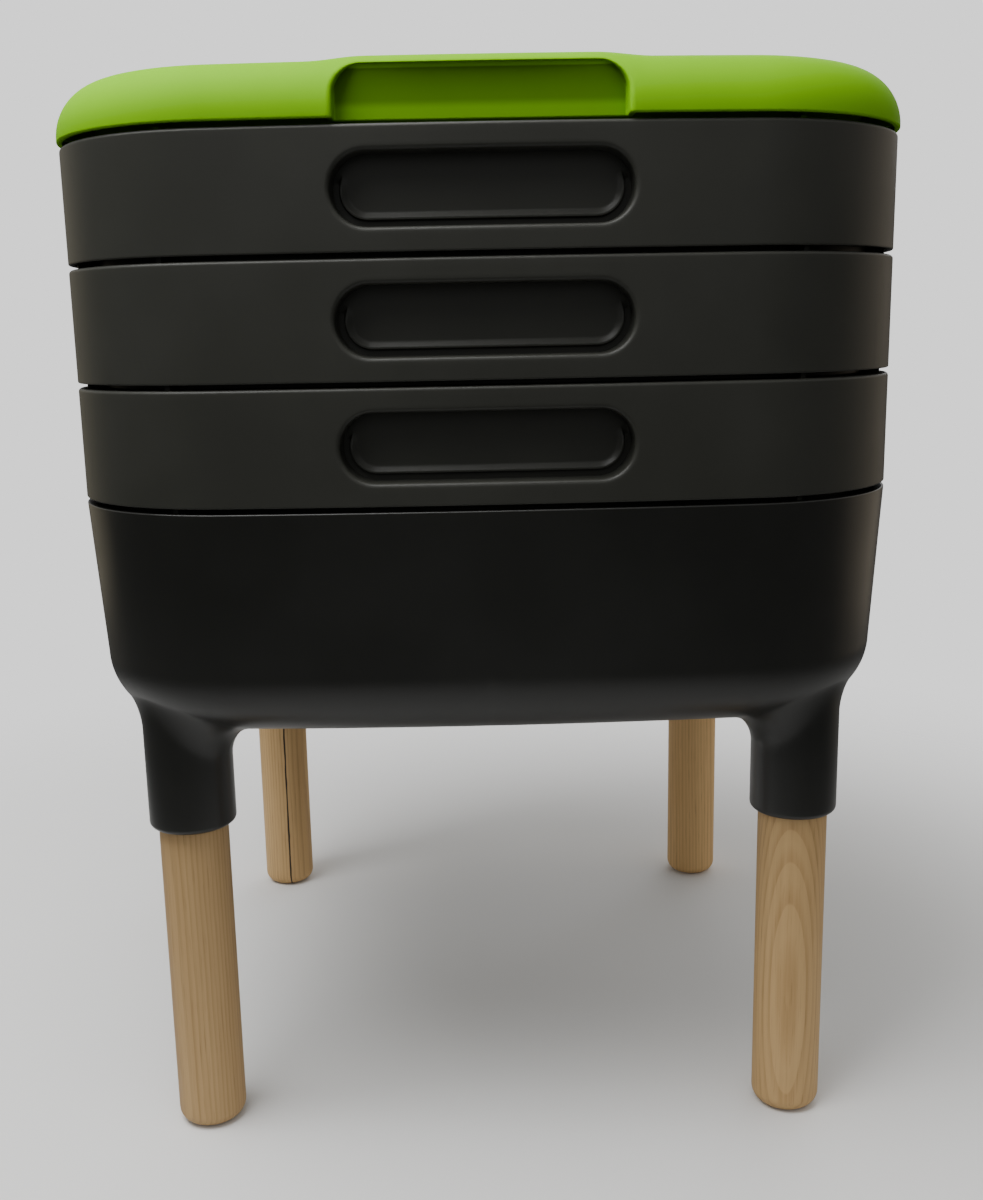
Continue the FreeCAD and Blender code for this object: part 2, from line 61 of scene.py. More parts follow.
class Link:
    """One output of a node, with the arithmetic that the finishes and patterns use."""

    def __init__(self, graph: "Graph", socket: bpy.types.NodeSocket) -> None:
        """Keep the tree and the socket."""
        self.graph = graph
        self.socket = socket

    def _math(self, operation: str, first: Any, second: Any = 0.0) -> "Link":
        """Add one Math node."""
        return self.graph.add("ShaderNodeMath", {"operation": operation}, {0: first, 1: second})

    def __add__(self, other: Any) -> "Link":
        """Sum."""
        return self._math("ADD", self, other)

    __radd__ = __add__

    def __sub__(self, other: Any) -> "Link":
        """Difference."""
        return self._math("SUBTRACT", self, other)

    def __rsub__(self, other: Any) -> "Link":
        """Difference from a number."""
        return self._math("SUBTRACT", other, self)

    def __mul__(self, other: Any) -> "Link":
        """Product."""
        return self._math("MULTIPLY", self, other)

    __rmul__ = __mul__

    def __truediv__(self, other: Any) -> "Link":
        """Quotient."""
        return self._math("DIVIDE", self, other)

    def __pow__(self, other: Any) -> "Link":
        """Power."""
        return self._math("POWER", self, other)

    def __mod__(self, other: Any) -> "Link":
        """Remainder."""
        return self._math("MODULO", self, other)

    def __gt__(self, other: Any) -> "Link":
        """One where it is greater."""
        return self._math("GREATER_THAN", self, other)

    def larger(self, other: Any) -> "Link":
        """The larger of two."""
        return self._math("MAXIMUM", self, other)

    def whole(self) -> "Link":
        """Whole number below."""
        return self._math("FLOOR", self)

    def size(self) -> "Link":
        """Value without its sign."""
        return self._math("ABSOLUTE", self)

    def sine(self) -> "Link":
        """Sine of an angle in radians."""
        return self._math("SINE", self)

    def cosine(self) -> "Link":
        """Cosine of an angle in radians."""
        return self._math("COSINE", self)

    def eased(self, low: float, high: float) -> "Link":
        """Smooth step from 0 at low to 1 at high."""
        return self.graph.add("ShaderNodeMapRange", {"interpolation_type": "SMOOTHSTEP"},
                              {0: self, 1: low, 2: high, 3: 0.0, 4: 1.0})

    def part(self, axis: int) -> "Link":
        """X, Y or Z of a vector."""
        return self.graph.add("ShaderNodeSeparateXYZ", {}, {0: self}, axis)


class Graph:
    """A node tree that is filled with one method."""

    def __init__(self, tree: bpy.types.NodeTree) -> None:
        """Start on an empty tree."""
        self.tree = tree
        tree.nodes.clear()

    def node(self, kind: str, settings: dict[str, Any], inputs: dict[int | str, Any]) -> bpy.types.Node:
        """Add a node.

        Args:
            kind: type name of the node.
            settings: the node's own properties, set first.
            inputs: values, links or lists of links, by the input's name or number.

        Returns:
            The node.
        """
        made = self.tree.nodes.new(kind)
        for name, value in settings.items():
            setattr(made, name, value)
        for name, value in inputs.items():
            socket = made.inputs[name]
            for item in (value if isinstance(value, list) else [value]):
                if isinstance(item, Link):
                    self.tree.links.new(item.socket, socket)
                else:
                    socket.default_value = item
        return made

    def add(self, kind: str, settings: dict[str, Any], inputs: dict[int | str, Any],
            output: int | str = 0) -> Link:
        """Add a node and give one of its outputs as a link."""
        return Link(self, self.node(kind, settings, inputs).outputs[output])

    def mix(self, factor: Any, first: Any, second: Any, blend: str = "MIX") -> Link:
        """Mix two colours."""
        return self.add("ShaderNodeMix", {"data_type": "RGBA", "blend_type": blend, "clamp_factor": True},
                        {0: factor, 6: first, 7: second}, 2)

    def vector(self, x: Any, y: Any, z: Any) -> Link:
        """Put three numbers together."""
        return self.add("ShaderNodeCombineXYZ", {}, {0: x, 1: y, 2: z})


# Finishes

Colour = tuple[float, float, float]
Place = tuple[float, float, float]
Band = tuple[float, float]
Outline = tuple[tuple[float, float], ...]

BLACK = (0.0, 0.0, 0.0, 1.0)


def rgba(colour: Colour) -> tuple[float, float, float, float]:
    """Colour with full opacity."""
    return (*colour, 1.0)


class ShaderGraph(Graph):
    """The tree of one material."""

    def __init__(self, name: str) -> None:
        """Make the material and find its place coordinates.

        Args:
            name: name of the material.
        """
        self.material = bpy.data.materials.new(name)
        self.material.use_nodes = True
        super().__init__(self.material.node_tree)
        self.place = self.add("ShaderNodeTexCoord", {}, {}, "Object")

    def noise(self, where: Link, scale: float, detail: float = 2.0, roughness: float = 0.5) -> Link:
        """Cloudy noise from 0 to 1."""
        return self.add("ShaderNodeTexNoise", {},
                        {"Vector": where, "Scale": scale, "Detail": detail, "Roughness": roughness})

    def stretched(self, move: Place, stretch: Place) -> Link:
        """Object coordinates, moved and then stretched."""
        moved = self.add("ShaderNodeVectorMath", {"operation": "ADD"}, {0: self.place, 1: move})
        return self.add("ShaderNodeVectorMath", {"operation": "MULTIPLY"}, {0: moved, 1: stretch})

    def finish(self, sockets: dict[int | str, Any], height: Link, strength: float,
               distance: float) -> bpy.types.Material:
        """Close the tree with a bump and the surface shader.

        Args:
            sockets: values and links of the surface shader.
            height: what the bump follows.
            strength: share of the bump.
            distance: depth of the bump in metres.

        Returns:
            The material.
        """
        bump = self.add("ShaderNodeBump", {}, {"Strength": strength, "Distance": distance, "Height": height})
        shader = self.add("ShaderNodeBsdfPrincipled", {}, {**sockets, "Normal": bump})
        self.node("ShaderNodeOutputMaterial", {}, {"Surface": shader})
        return self.material


@dataclass(frozen=True)
class RecessShade:
    """Painted shade on the walls of the lid's two recesses, deepest under their upper edge.

    Each band is the stretch, in metres from the origin, over which one part of the shade comes or goes.
    """

    skin: Band = (0.1835, 0.1850)
    ends: Band = (0.0590, 0.0600)
    upper_edge: Band = (0.4918, 0.4926)
    foot: Band = (0.4760, 0.4800)
    rise: Band = (0.4780, 0.4920)
    least: float = 0.18
    foot_share: float = 0.36
    rise_share: float = 0.14

    def share(self, graph: ShaderGraph) -> Link:
        """Share of painted shade at each place.

        Args:
            graph: the lid's material.

        Returns:
            The share, from 0 outside the recesses.
        """
        depth = 1.0 - graph.place.part(1).size().eased(*self.skin)
        within = 1.0 - graph.place.part(0).size().eased(*self.ends)
        height = graph.place.part(2)
        below = 1.0 - height.eased(*self.upper_edge)
        band = height.eased(*self.foot) * self.foot_share + height.eased(*self.rise) * self.rise_share
        return depth * within * below * (band + self.least)


@dataclass(frozen=True)
class MouldedPlastic:
    """Satin plastic with a fine spark-eroded texture and faint flow clouds."""

    name: str
    colour: Colour
    pale: Colour
    roughness: float
    specular: float
    # Painted shade for the lid's recesses, if any.
    recess: RecessShade | None = None
    cloud_size: float = 70.0
    cloud_tone: float = 0.55
    cloud_roughness: float = 0.07
    grain_size: float = 0.55
    grain_tone: float = 0.25
    grain_strength: float = 0.12
    grain_depth: float = 0.12
    scuff_scale: float = 160.0
    scuff_tone: float = 0.12
    scuff_roughness: float = 0.06

    def material(self) -> bpy.types.Material:
        """Make the material.

        Returns:
            The material.
        """
        graph = ShaderGraph(self.name)
        clouds = graph.noise(graph.place, 1.0 / (self.cloud_size * MM), 3.0, 0.55)
        grain = graph.noise(graph.place, 1.0 / (self.grain_size * MM), 1.0, 0.4)
        scuff_place = graph.stretched((0.11, 0.07, 0.02), (1.0, 1.0, 0.35))
        scuffs = graph.noise(scuff_place, self.scuff_scale, 4.0, 0.7)
        tone = (clouds.eased(0.3, 0.75) * self.cloud_tone + grain * self.grain_tone
                + scuffs.eased(0.62, 0.8) * self.scuff_tone)
        colour = graph.mix(tone, rgba(self.colour), rgba(self.pale))
        # Painted shade: the recess walls are mixed towards black, darkest under their upper edge.
        if self.recess:
            colour = graph.mix(self.recess.share(graph), colour, BLACK)
        rough = (clouds.eased(0.25, 0.8) * self.cloud_roughness
                 + scuffs.eased(0.55, 0.8) * self.scuff_roughness + self.roughness)
        sockets = {"Base Color": colour, "Roughness": rough, "IOR": 1.49, "Specular IOR Level": self.specular}
        return graph.finish(sockets, grain + clouds * 0.15, self.grain_strength, self.grain_depth * MM)


@dataclass(frozen=True)
class SmoothPlastic:
    """Glossy plastic of the tap, with light handling marks."""

    name: str
    colour: Colour
    roughness: float
    pale_share: float = 1.7
    mark_roughness: float = 0.14

    def material(self) -> bpy.types.Material:
        """Make the material.

        Returns:
            The material.
        """
        graph = ShaderGraph(self.name)
        marks = graph.noise(graph.stretched((0.0, 0.0, 0.0), (1.0, 0.4, 1.0)), 420.0, 3.0, 0.65)
        clouds = graph.noise(graph.place, 60.0, 2.0)
        pale = rgba(tuple(self.pale_share * part for part in self.colour))
        colour = graph.mix(clouds.eased(0.3, 0.8) * 0.5, rgba(self.colour), pale)
        rough = marks.eased(0.45, 0.75) * self.mark_roughness + self.roughness
        return graph.finish({"Base Color": colour, "Roughness": rough, "IOR": 1.5},
                            marks, 0.04, 0.05 * MM)


@dataclass(frozen=True)
class Rubber:
    """Matt black rubber of the seals."""

    name: str = "matt_rubber"
    colour: Colour = (0.012, 0.012, 0.012)
    dusty: Colour = (0.05, 0.05, 0.048)

    def material(self) -> bpy.types.Material:
        """Make the material.

        Returns:
            The material.
        """
        graph = ShaderGraph(self.name)
        dust = graph.noise(graph.place, 900.0, 3.0, 0.6)
        colour = graph.mix(dust.eased(0.45, 0.8) * 0.4, rgba(self.colour), rgba(self.dusty))
        rough = dust * 0.12 + 0.68
        return graph.finish({"Base Color": colour, "Roughness": rough}, dust, 0.15, 0.08 * MM)


@dataclass(frozen=True)
class DryingCrack:
    """Fine split down the front of a dowel, a little aslant.

    Side, wander and width are in millimetres, and the edge is a share of the width. The front is how far
    before the dowel's axis the split comes in, in metres.
    """

    side: float = 2.9
    lean: float = 0.003
    wander: float = 1.2
    width: float = 0.9
    least_width: float = 0.15
    edge: Band = (0.6, 1.15)
    front: Band = (0.008, 0.011)
    tone: Colour = (0.025, 0.014, 0.007)
    depth: float = 3.0

    def split(self, graph: ShaderGraph, axis: Band) -> Link:
        """Where the wood is split.

        Args:
            graph: the dowel's material.
            axis: x and y of the dowel's axis.

        Returns:
            1 in the crack, 0 beside it.
        """
        x = graph.place.part(0)
        y = graph.place.part(1)
        z = graph.place.part(2)
        wander = graph.noise(graph.stretched((0.0, 0.0, 0.31), (0.0, 0.0, 60.0)), 1.0, 2.0) - 0.5
        side = (x - axis[0] * MM + wander * (self.wander * MM) - self.side * MM - z * self.lean).size()
        width = graph.noise(graph.stretched((0.0, 0.0, 0.77), (0.0, 0.0, 45.0)), 1.0, 2.0)
        width = width * (self.width * MM) + self.least_width * MM
        front = (axis[1] * MM - y).eased(*self.front)
        return (1.0 - (side / width).eased(*self.edge)) * front


@dataclass(frozen=True)
class Cut:
    """How one dowel was cut from its plank, and the painted light that brightens its wood.

    The pith is its distance from the dowel's axis, the slant its lean, and the bow its curve and middle.
    """

    pith: Band
    slant: Band = (0.0, 0.0)
    bow: Band = (0.0, 0.0)
    ring_width: float = 2.2
    seed: float = 0.0
    # Painted light: brightening of the wood's colour that stands in for light the dowel lacks.
    painted_light: float = 1.0
    crack: DryingCrack | None = None


@dataclass(frozen=True)
class AshDowel:
    """Sanded ash, with growth rings about the pith, fine pores and a possible crack."""

    name: str
    axis: Band
    cut: Cut
    early_wood: Colour = (0.43, 0.277, 0.122)
    late_wood: Colour = (0.30, 0.178, 0.067)
    streak: Colour = (0.52, 0.345, 0.162)
    heart: Colour = (0.37, 0.225, 0.086)
    pore: Colour = (0.22, 0.126, 0.047)
    waver: float = 3.2

    def material(self) -> bpy.types.Material:
        """Make the material.

        Returns:
            The material.
        """
        graph = ShaderGraph(self.name)
        cut = self.cut
        x = graph.place.part(0)
        y = graph.place.part(1)
        z = graph.place.part(2)
        waver = graph.noise(graph.stretched((cut.seed, 0.0, 0.0), (40.0, 40.0, 7.0)), 1.0, 3.0, 0.55) - 0.5
        across = x - (self.axis[0] + cut.pith[0]) * MM + z * cut.slant[0] + waver * (self.waver * MM)
        bowed = (z - cut.bow[1] * MM) ** 2.0 * cut.bow[0]
        along = y - (self.axis[1] + cut.pith[1]) * MM + z * cut.slant[1] + bowed
        distance = (across * across + along * along) ** 0.5
        cycle = (distance / (cut.ring_width * MM)) % 1.0
        late = cycle.eased(0.35, 0.93) * (1.0 - cycle.eased(0.93, 1.0))
        streaks = graph.noise(graph.stretched((0.0, cut.seed, 0.0), (420.0, 420.0, 9.0)), 1.0, 4.0, 0.6)
        pore_place = graph.stretched((cut.seed, cut.seed, 0.0), (1500.0, 1500.0, 55.0))
        pores = graph.noise(pore_place, 1.0, 2.0, 0.5)
        pore_mask = pores.eased(0.57, 0.72) * (0.35 + late * 0.65)
        tone = graph.noise(graph.stretched((0.0, 0.0, cut.seed), (26.0, 26.0, 5.0)), 1.0, 2.0)
        colour = graph.mix(late * 0.75, rgba(self.early_wood), rgba(self.late_wood))
        colour = graph.mix(streaks.eased(0.3, 0.75) * 0.5, colour, rgba(self.streak))
        colour = graph.mix(tone.eased(0.4, 0.75) * 0.35, colour, rgba(self.heart))
        colour = graph.mix(pore_mask * 0.55, colour, rgba(self.pore))
        # Painted light: the wood's colour is brightened by each dowel's own factor, most for the rear legs.
        shade = rgba((cut.painted_light, cut.painted_light, cut.painted_light))
        colour = graph.mix(1.0, colour, shade, "MULTIPLY")
        height = streaks * 0.35 - pore_mask * 0.6 - late * 0.2
        rough = 0.62 - late * 0.08 + pores * 0.06
        if cut.crack:
            split = cut.crack.split(graph, self.axis)
            colour = graph.mix(split, colour, rgba(cut.crack.tone))
            height = height - split * cut.crack.depth
        return graph.finish({"Base Color": colour, "Roughness": rough, "IOR": 1.45}, height, 0.35, 0.15 * MM)


class Finish(Enum):
    """Finishes that several pieces share."""

    LID = MouldedPlastic("satin_green", (0.155, 0.400, 0.001), (0.185, 0.460, 0.002), 0.54, 0.03,
                         RecessShade())
    TRAY = MouldedPlastic("satin_black", (0.0240, 0.0245, 0.0200), (0.0330, 0.0335, 0.0280), 0.40, 0.27)
    # Painted shade: the collector's black is darker than the trays' to stand in for the light that falls off
    # towards the bottom.
    BOWL = MouldedPlastic("black_with_painted_shade", (0.0080, 0.0082, 0.0068), (0.0115, 0.0117, 0.0099), 0.29, 0.42)
    TAP = SmoothPlastic("gloss_black", (0.012, 0.012, 0.011), 0.22)
    SEAL = Rubber()

    def material(self) -> bpy.types.Material:
        """The shared material, made on first use."""
        return bpy.data.materials.get(self.value.name) or self.value.material()


# Meshes

class Shell:
    """Collects points and faces in millimetres and makes one welded mesh of them."""

    def __init__(self) -> None:
        """Start empty."""
        self.points: list[np.ndarray] = []
        self.faces: list[tuple[int, ...]] = []
        self.count = 0

    def _store(self, points: np.ndarray) -> int:
        """Add points.

        Args:
            points: points in millimetres.

        Returns:
            Number of the first point added.
        """
        first = self.count
        self.points.append(points.reshape(-1, 3))
        self.count += self.points[-1].shape[0]
        return first

    def grid(self, rows: np.ndarray, loop: bool = False,
             skip: Callable[[int, int], bool] | None = None) -> None:
        """Add quads over rows of points.

        Args:
            rows: array of rows, columns and coordinates.
            loop: join the last column to the first.
            skip: says which quads, by row and column, are left out.
        """
        height, width = rows.shape[:2]
        first = self._store(rows)
        for row in range(height - 1):
            for column in range(width if loop else width - 1):
                if skip and skip(row, column):
                    continue
                beside = (column + 1) % width
                low, high = first + row * width, first + (row + 1) * width
                self.faces.append((low + column, low + beside, high + beside, high + column))

    def cap(self, ring: np.ndarray) -> None:
        """Close a flat ring with one face."""
        first = self._store(ring)
        self.faces.append(tuple(range(first, first + len(ring))))

    def slab(self, outline: np.ndarray, shift: np.ndarray) -> None:
        """Add a plate between an outline and its copy moved by a shift.

        Args:
            outline: corners of the plate.
            shift: vector from the outline to its copy.
        """
        loop = np.vstack([outline, outline[:1]])
        self.grid(np.stack([loop, loop + shift]))
        self.cap(outline)
        self.cap(outline + shift)

    def piece(self, name: str, outward: bool = True) -> bpy.types.Object:
        """Make the object, welded.

        Args:
            name: name of the object and its mesh.
            outward: turn the faces outwards.

        Returns:
            The object, linked to the scene.
        """
        mesh = bpy.data.meshes.new(name)
        mesh.from_pydata((np.vstack(self.points) * MM).tolist(), [], self.faces)
        work = bmesh.new()
        work.from_mesh(mesh)
        bmesh.ops.remove_doubles(work, verts=work.verts, dist=WELD)
        bmesh.ops.dissolve_degenerate(work, edges=work.edges, dist=WELD)
        loose = [vert for vert in work.verts if not vert.link_faces]
        bmesh.ops.delete(work, geom=loose, context="VERTS")
        if outward:
            bmesh.ops.recalc_face_normals(work, faces=work.faces)
        work.to_mesh(mesh)
        work.free()
        made = bpy.data.objects.new(name, mesh)
        bpy.context.collection.objects.link(made)
        return made


def eased_line(corners: list[tuple[float, ...]], steps: int = 6,
               closed: bool = False) -> list[tuple[float, float]]:
    """Points along a line whose corners are rounded.

    Args:
        corners: (inset, z) or (inset, z, radius) of each corner.
        steps: steps in each rounding.
        closed: whether the last corner joins the first.

    Returns:
        Points as (inset, z).
    """
    points: list[tuple[float, float]] = []
    count = len(corners)
    for index, corner in enumerate(corners):
        here = np.array(corner[:2], float)
        radius = corner[2] if len(corner) > 2 else 0.0
        if radius == 0.0:
            points.append((float(here[0]), float(here[1])))
            continue
        before = np.array(corners[index - 1][:2], float) - here
        after = np.array(corners[(index + 1) % count][:2], float) - here
        before /= np.linalg.norm(before)
        after /= np.linalg.norm(after)
        half = math.acos(max(-1.0, min(1.0, float(before @ after)))) / 2
        bisector = before + after
        centre = here + bisector / np.linalg.norm(bisector) * radius / math.sin(half)
        start = here + before * radius / math.tan(half) - centre
        finish = here + after * radius / math.tan(half) - centre
        sweep = math.pi - 2 * half
        for step in range(steps + 1):
            share = step / steps
            turned = math.sin((1 - share) * sweep) * start + math.sin(share * sweep) * finish
            spot = centre + turned / math.sin(sweep)
            points.append((float(spot[0]), float(spot[1])))
    if closed:
        points.append(points[0])
    return points


def finish_piece(piece: bpy.types.Object, body: str, material: bpy.types.Material,
                 replaced: str) -> None:
    """Give a piece its even shading, material, body, slot and the node it stands for.

    Args:
        piece: the finished mesh object.
        body: body that it moves with.
        material: its finish.
        replaced: node that it stands for.
    """
    mesh = piece.data
    mesh.shade_smooth()
    mesh.set_sharp_from_angle(angle=SHARP_ANGLE)
    weights = piece.modifiers.new("even_shading", "WEIGHTED_NORMAL")
    weights.keep_sharp = True
    mesh.materials.clear()
    mesh.materials.append(material)
    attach(piece, body)
    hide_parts(replaced)
    log.info("%s: %d faces on %s", piece.name, len(mesh.polygons), body)


def grown(piece: bpy.types.Object, tree: bpy.types.NodeTree, values: dict[str, Any]) -> bpy.types.Object:
    """Run a Geometry Nodes tree on a piece and keep the result as its plain mesh.

    Args:
        piece: the object that carries the tree's starting mesh.
        tree: the tree.
        values: the tree's named inputs.

    Returns:
        The same object with its new mesh.
    """
    modifier = piece.modifiers.new("grown", "NODES")
    modifier.node_group = tree
    for socket in tree.interface.items_tree:
        if socket.item_type == "SOCKET" and socket.in_out == "INPUT" and socket.name in values:
            modifier[socket.identifier] = values[socket.name]
    depsgraph = bpy.context.evaluated_depsgraph_get()
    mesh = bpy.data.meshes.new_from_object(piece.evaluated_get(depsgraph))
    piece.modifiers.remove(modifier)
    mesh.name = piece.name
    piece.data = mesh
    return piece


def joined(first: bpy.types.Object, others: list[bpy.types.Object]) -> bpy.types.Object:
    """Put the meshes of several objects into the first, welded.

    Args:
        first: object that keeps the result.
        others: objects that go into it and are removed.

    Returns:
        The first object.
    """
    work = bmesh.new()
    work.from_mesh(first.data)
    for other in others:
        work.from_mesh(other.data)
        bpy.data.objects.remove(other)
    bmesh.ops.remove_doubles(work, verts=work.verts, dist=WELD)
    bmesh.ops.recalc_face_normals(work, faces=work.faces)
    work.to_mesh(first.data)
    work.free()
    return first


class PatternTree(Graph):
    """A Geometry Nodes tree with named inputs."""

    def __init__(self, name: str, inputs: dict[str, tuple[str, Any]]) -> None:
        """Make the group, its sockets and its input node.

        Args:
            name: name of the tree.
            inputs: socket type and first value of each named input.
        """
        group = bpy.data.node_groups.new(name, "GeometryNodeTree")
        super().__init__(group)
        group.interface.new_socket("Geometry", in_out="INPUT", socket_type="NodeSocketGeometry")
        for label, (kind, value) in inputs.items():
            socket = group.interface.new_socket(label, in_out="INPUT", socket_type=kind)
            if value is not None:
                socket.default_value = value
        group.interface.new_socket("Geometry", in_out="OUTPUT", socket_type="NodeSocketGeometry")
        self.entry = group.nodes.new("NodeGroupInput")

    def value(self, label: str) -> Link:
        """A named input."""
        return Link(self, self.entry.outputs[label])

    def close(self, geometry: Link, material: Link) -> bpy.types.NodeTree:
        """End the tree with real geometry and its material.

        Args:
            geometry: what the tree has made.
            material: the material that it gets.

        Returns:
            The finished tree.
        """
        real = self.add("GeometryNodeRealizeInstances", {}, {"Geometry": geometry})
        dressed = self.add("GeometryNodeSetMaterial", {}, {"Geometry": real, "Material": material})
        self.node("NodeGroupOutput", {}, {"Geometry": dressed})
        return self.tree


def slotted_floor_tree() -> bpy.types.NodeTree:
    """Tree that turns an outline into a floor with a grid of drain slots.

    Returns:
        The tree, with its sizes as named inputs.
    """
    graph = PatternTree("slotted_floor", {
        "Slot Length": ("NodeSocketFloat", 0.048), "Slot Width": ("NodeSocketFloat", 0.004),
        "Columns": ("NodeSocketInt", 4), "Rows": ("NodeSocketInt", 6),
        "Pitch X": ("NodeSocketFloat", 0.07), "Pitch Y": ("NodeSocketFloat", 0.048),
        "Underside": ("NodeSocketFloat", 0.0), "Thickness": ("NodeSocketFloat", 0.0025),
        "Slot Field": ("NodeSocketFloat", 0.14), "Material": ("NodeSocketMaterial", None)})
    slot = graph.add("GeometryNodeCurvePrimitiveQuadrilateral", {"mode": "RECTANGLE"},
                     {"Width": graph.value("Slot Length"), "Height": graph.value("Slot Width")})
    pill = graph.add("GeometryNodeFilletCurve", {"mode": "POLY"},
                     {"Curve": slot, "Count": 5, "Radius": graph.value("Slot Width") * 0.499})
    grid = graph.add("GeometryNodeMeshGrid", {}, {
        "Size X": graph.value("Pitch X") * (graph.value("Columns") - 1.0),
        "Size Y": graph.value("Pitch Y") * (graph.value("Rows") - 1.0),
        "Vertices X": graph.value("Columns"), "Vertices Y": graph.value("Rows")})
    slots = graph.add("GeometryNodeInstanceOnPoints", {}, {"Points": grid, "Instance": pill})
    slots = graph.add("GeometryNodeRealizeInstances", {}, {"Geometry": slots})
    outline = graph.add("GeometryNodeMeshToCurve", {}, {"Mesh": graph.value("Geometry")})
    curves = graph.add("GeometryNodeJoinGeometry", {}, {"Geometry": [outline, slots]})
    flat = graph.add("GeometryNodeFillCurve", {"mode": "TRIANGLES"}, {"Curve": curves})
    lift = graph.vector(0.0, 0.0, graph.value("Underside"))
    under = graph.add("GeometryNodeTransform", {}, {"Geometry": flat, "Translation": lift})
    raised = graph.node("GeometryNodeExtrudeMesh", {"mode": "FACES"}, {
        "Mesh": under, "Offset": graph.vector(0.0, 0.0, 1.0),
        "Offset Scale": graph.value("Thickness"), "Individual": False})
    place = graph.add("GeometryNodeInputPosition", {}, {})
    reach = place.part(0).size().larger(place.part(1).size())
    rim = Link(graph, raised.outputs["Side"]) * (reach > graph.value("Slot Field"))
    walls = graph.add("GeometryNodeDeleteGeometry", {"domain": "FACE"},
                      {"Geometry": Link(graph, raised.outputs["Mesh"]), "Selection": rim})
    both = graph.add("GeometryNodeJoinGeometry", {}, {"Geometry": [walls, under]})
    return graph.close(both, graph.value("Material"))


def corner_plates_tree() -> bpy.types.NodeTree:
    """Tree that sets a pair of plates, square to the wall, at each round corner of the footprint.

    Returns:
        The tree, with its sizes as named inputs.
    """
    graph = PatternTree("corner_plates", {
        "Corner At": ("NodeSocketFloat", 0.11), "Corner Radius": ("NodeSocketFloat", 0.08),
        "Angle": ("NodeSocketFloat", 0.43), "Material": ("NodeSocketMaterial", None)})
    index = graph.add("GeometryNodeInputIndex", {}, {})
    quarter = (index / 2.0).whole() * RIGHT_ANGLE
    side = (index % 2.0) * 2.0 - 1.0
    turn = quarter + side * graph.value("Angle") + math.pi / 4
    diagonal = quarter + math.pi / 4
    reach = graph.value("Corner At") * math.sqrt(2.0)
    radius = graph.value("Corner Radius")
    spot = graph.vector(diagonal.cosine() * reach + turn.cosine() * radius,
                        diagonal.sine() * reach + turn.sine() * radius, 0.0)
    points = graph.add("GeometryNodePoints", {}, {"Count": 8, "Position": spot})
    spin = graph.vector(0.0, 0.0, turn)
    plates = graph.add("GeometryNodeInstanceOnPoints", {},
                       {"Points": points, "Instance": graph.value("Geometry"), "Rotation": spin})
    return graph.close(plates, graph.value("Material"))


# The footprint that all mouldings share

@dataclass(frozen=True)
class Footprint:
    """Square with round corners and slightly bowed sides, made of eight tangent arcs."""

    half_width: float = 195.0
    corner_radius: float = 82.6
    side_radius: float = 1640.0
    side_steps: int = 32
    corner_steps: int = 28

    @property
    def corner_at(self) -> float:
        """Distance of each corner arc's centre from the X and Y axes.

        Returns:
            The distance at which the eight arcs are tangent.
        """
        side = self.side_radius - self.half_width
        reach = self.side_radius - self.corner_radius
        return (math.sqrt(2 * reach ** 2 - side ** 2) - side) / 2

    @property
    def side_angle(self) -> float:
        """Half of the angle that a side arc sweeps."""
        return math.atan2(self.corner_at, self.side_radius - self.half_width + self.corner_at)

    def _quarter(self) -> list[tuple[float, float, float, float]]:
        """Centre, radius and angle of each sample from the middle of the right side to the back's.

        Returns:
            Samples as (centre x, centre y, radius, angle).
        """
        side = self.side_radius - self.half_width
        at = self.corner_at
        low = self.side_angle
        high = RIGHT_ANGLE - low
        arcs = [(-side, 0.0, self.side_radius, 0.0, low, self.side_steps),
                (at, at, self.corner_radius, low, high, self.corner_steps),
                (0.0, -side, self.side_radius, high, RIGHT_ANGLE, self.side_steps)]
        samples = []
        for centre_x, centre_y, radius, first, last, steps in arcs:
            for step in range(steps):
                samples.append((centre_x, centre_y, radius, first + (last - first) * step / steps))
        return samples

    @property
    def quarter_steps(self) -> int:
        """Samples in a quarter."""
        return 2 * self.side_steps + self.corner_steps

    def ring(self, inset: float, z: float) -> np.ndarray:
        """Points all the way round, drawn in by an inset, from the middle of the right side.

        Args:
            inset: distance inside the footprint.
            z: height.

        Returns:
            Array of points.
        """
        points = []
        for turn in range(4):
            c, s = ((1, 0), (0, 1), (-1, 0), (0, -1))[turn]
            for centre_x, centre_y, radius, angle in self._quarter():
                x = centre_x + (radius - inset) * math.cos(angle)
                y = centre_y + (radius - inset) * math.sin(angle)
                points.append((c * x - s * y, s * x + c * y, z))
        return np.array(points)

    def rings(self, section: list[tuple[float, float]]) -> np.ndarray:
        """One ring for each point of a section."""
        return np.stack([self.ring(inset, z) for inset, z in section])

    def on_face(self, along: np.ndarray, depth: np.ndarray, z: np.ndarray, back: bool) -> np.ndarray:
        """Points by their distance along the front or back, depth behind it, and height.

        Args:
            along: distance from the middle, along the bowed face.
            depth: distance behind the face.
            z: height.
            back: the back instead of the front.

        Returns:
            Array of points.
        """
        angle = along / self.side_radius
        radius = self.side_radius - depth
        x = radius * np.sin(angle)
        y = self.side_radius - self.half_width - radius * np.cos(angle)
        sign = -1.0 if back else 1.0
        return np.stack([x * sign, y * sign, z + 0 * x], -1)

    def in_front_window(self, column: int, half: int) -> bool:
        """Whether a quad's column lies within a number of columns of the front's or back's middle."""
        middle = self.quarter_steps
        return any(abs(column + 0.5 - place) < half for place in (middle, 3 * middle))

    def window_places(self, half: int) -> np.ndarray:
        """Distance along the face of each column edge in the window."""
        step = self.side_angle * self.side_radius / self.side_steps
        return np.arange(-half, half + 1) * step


FOOTPRINT = Footprint()


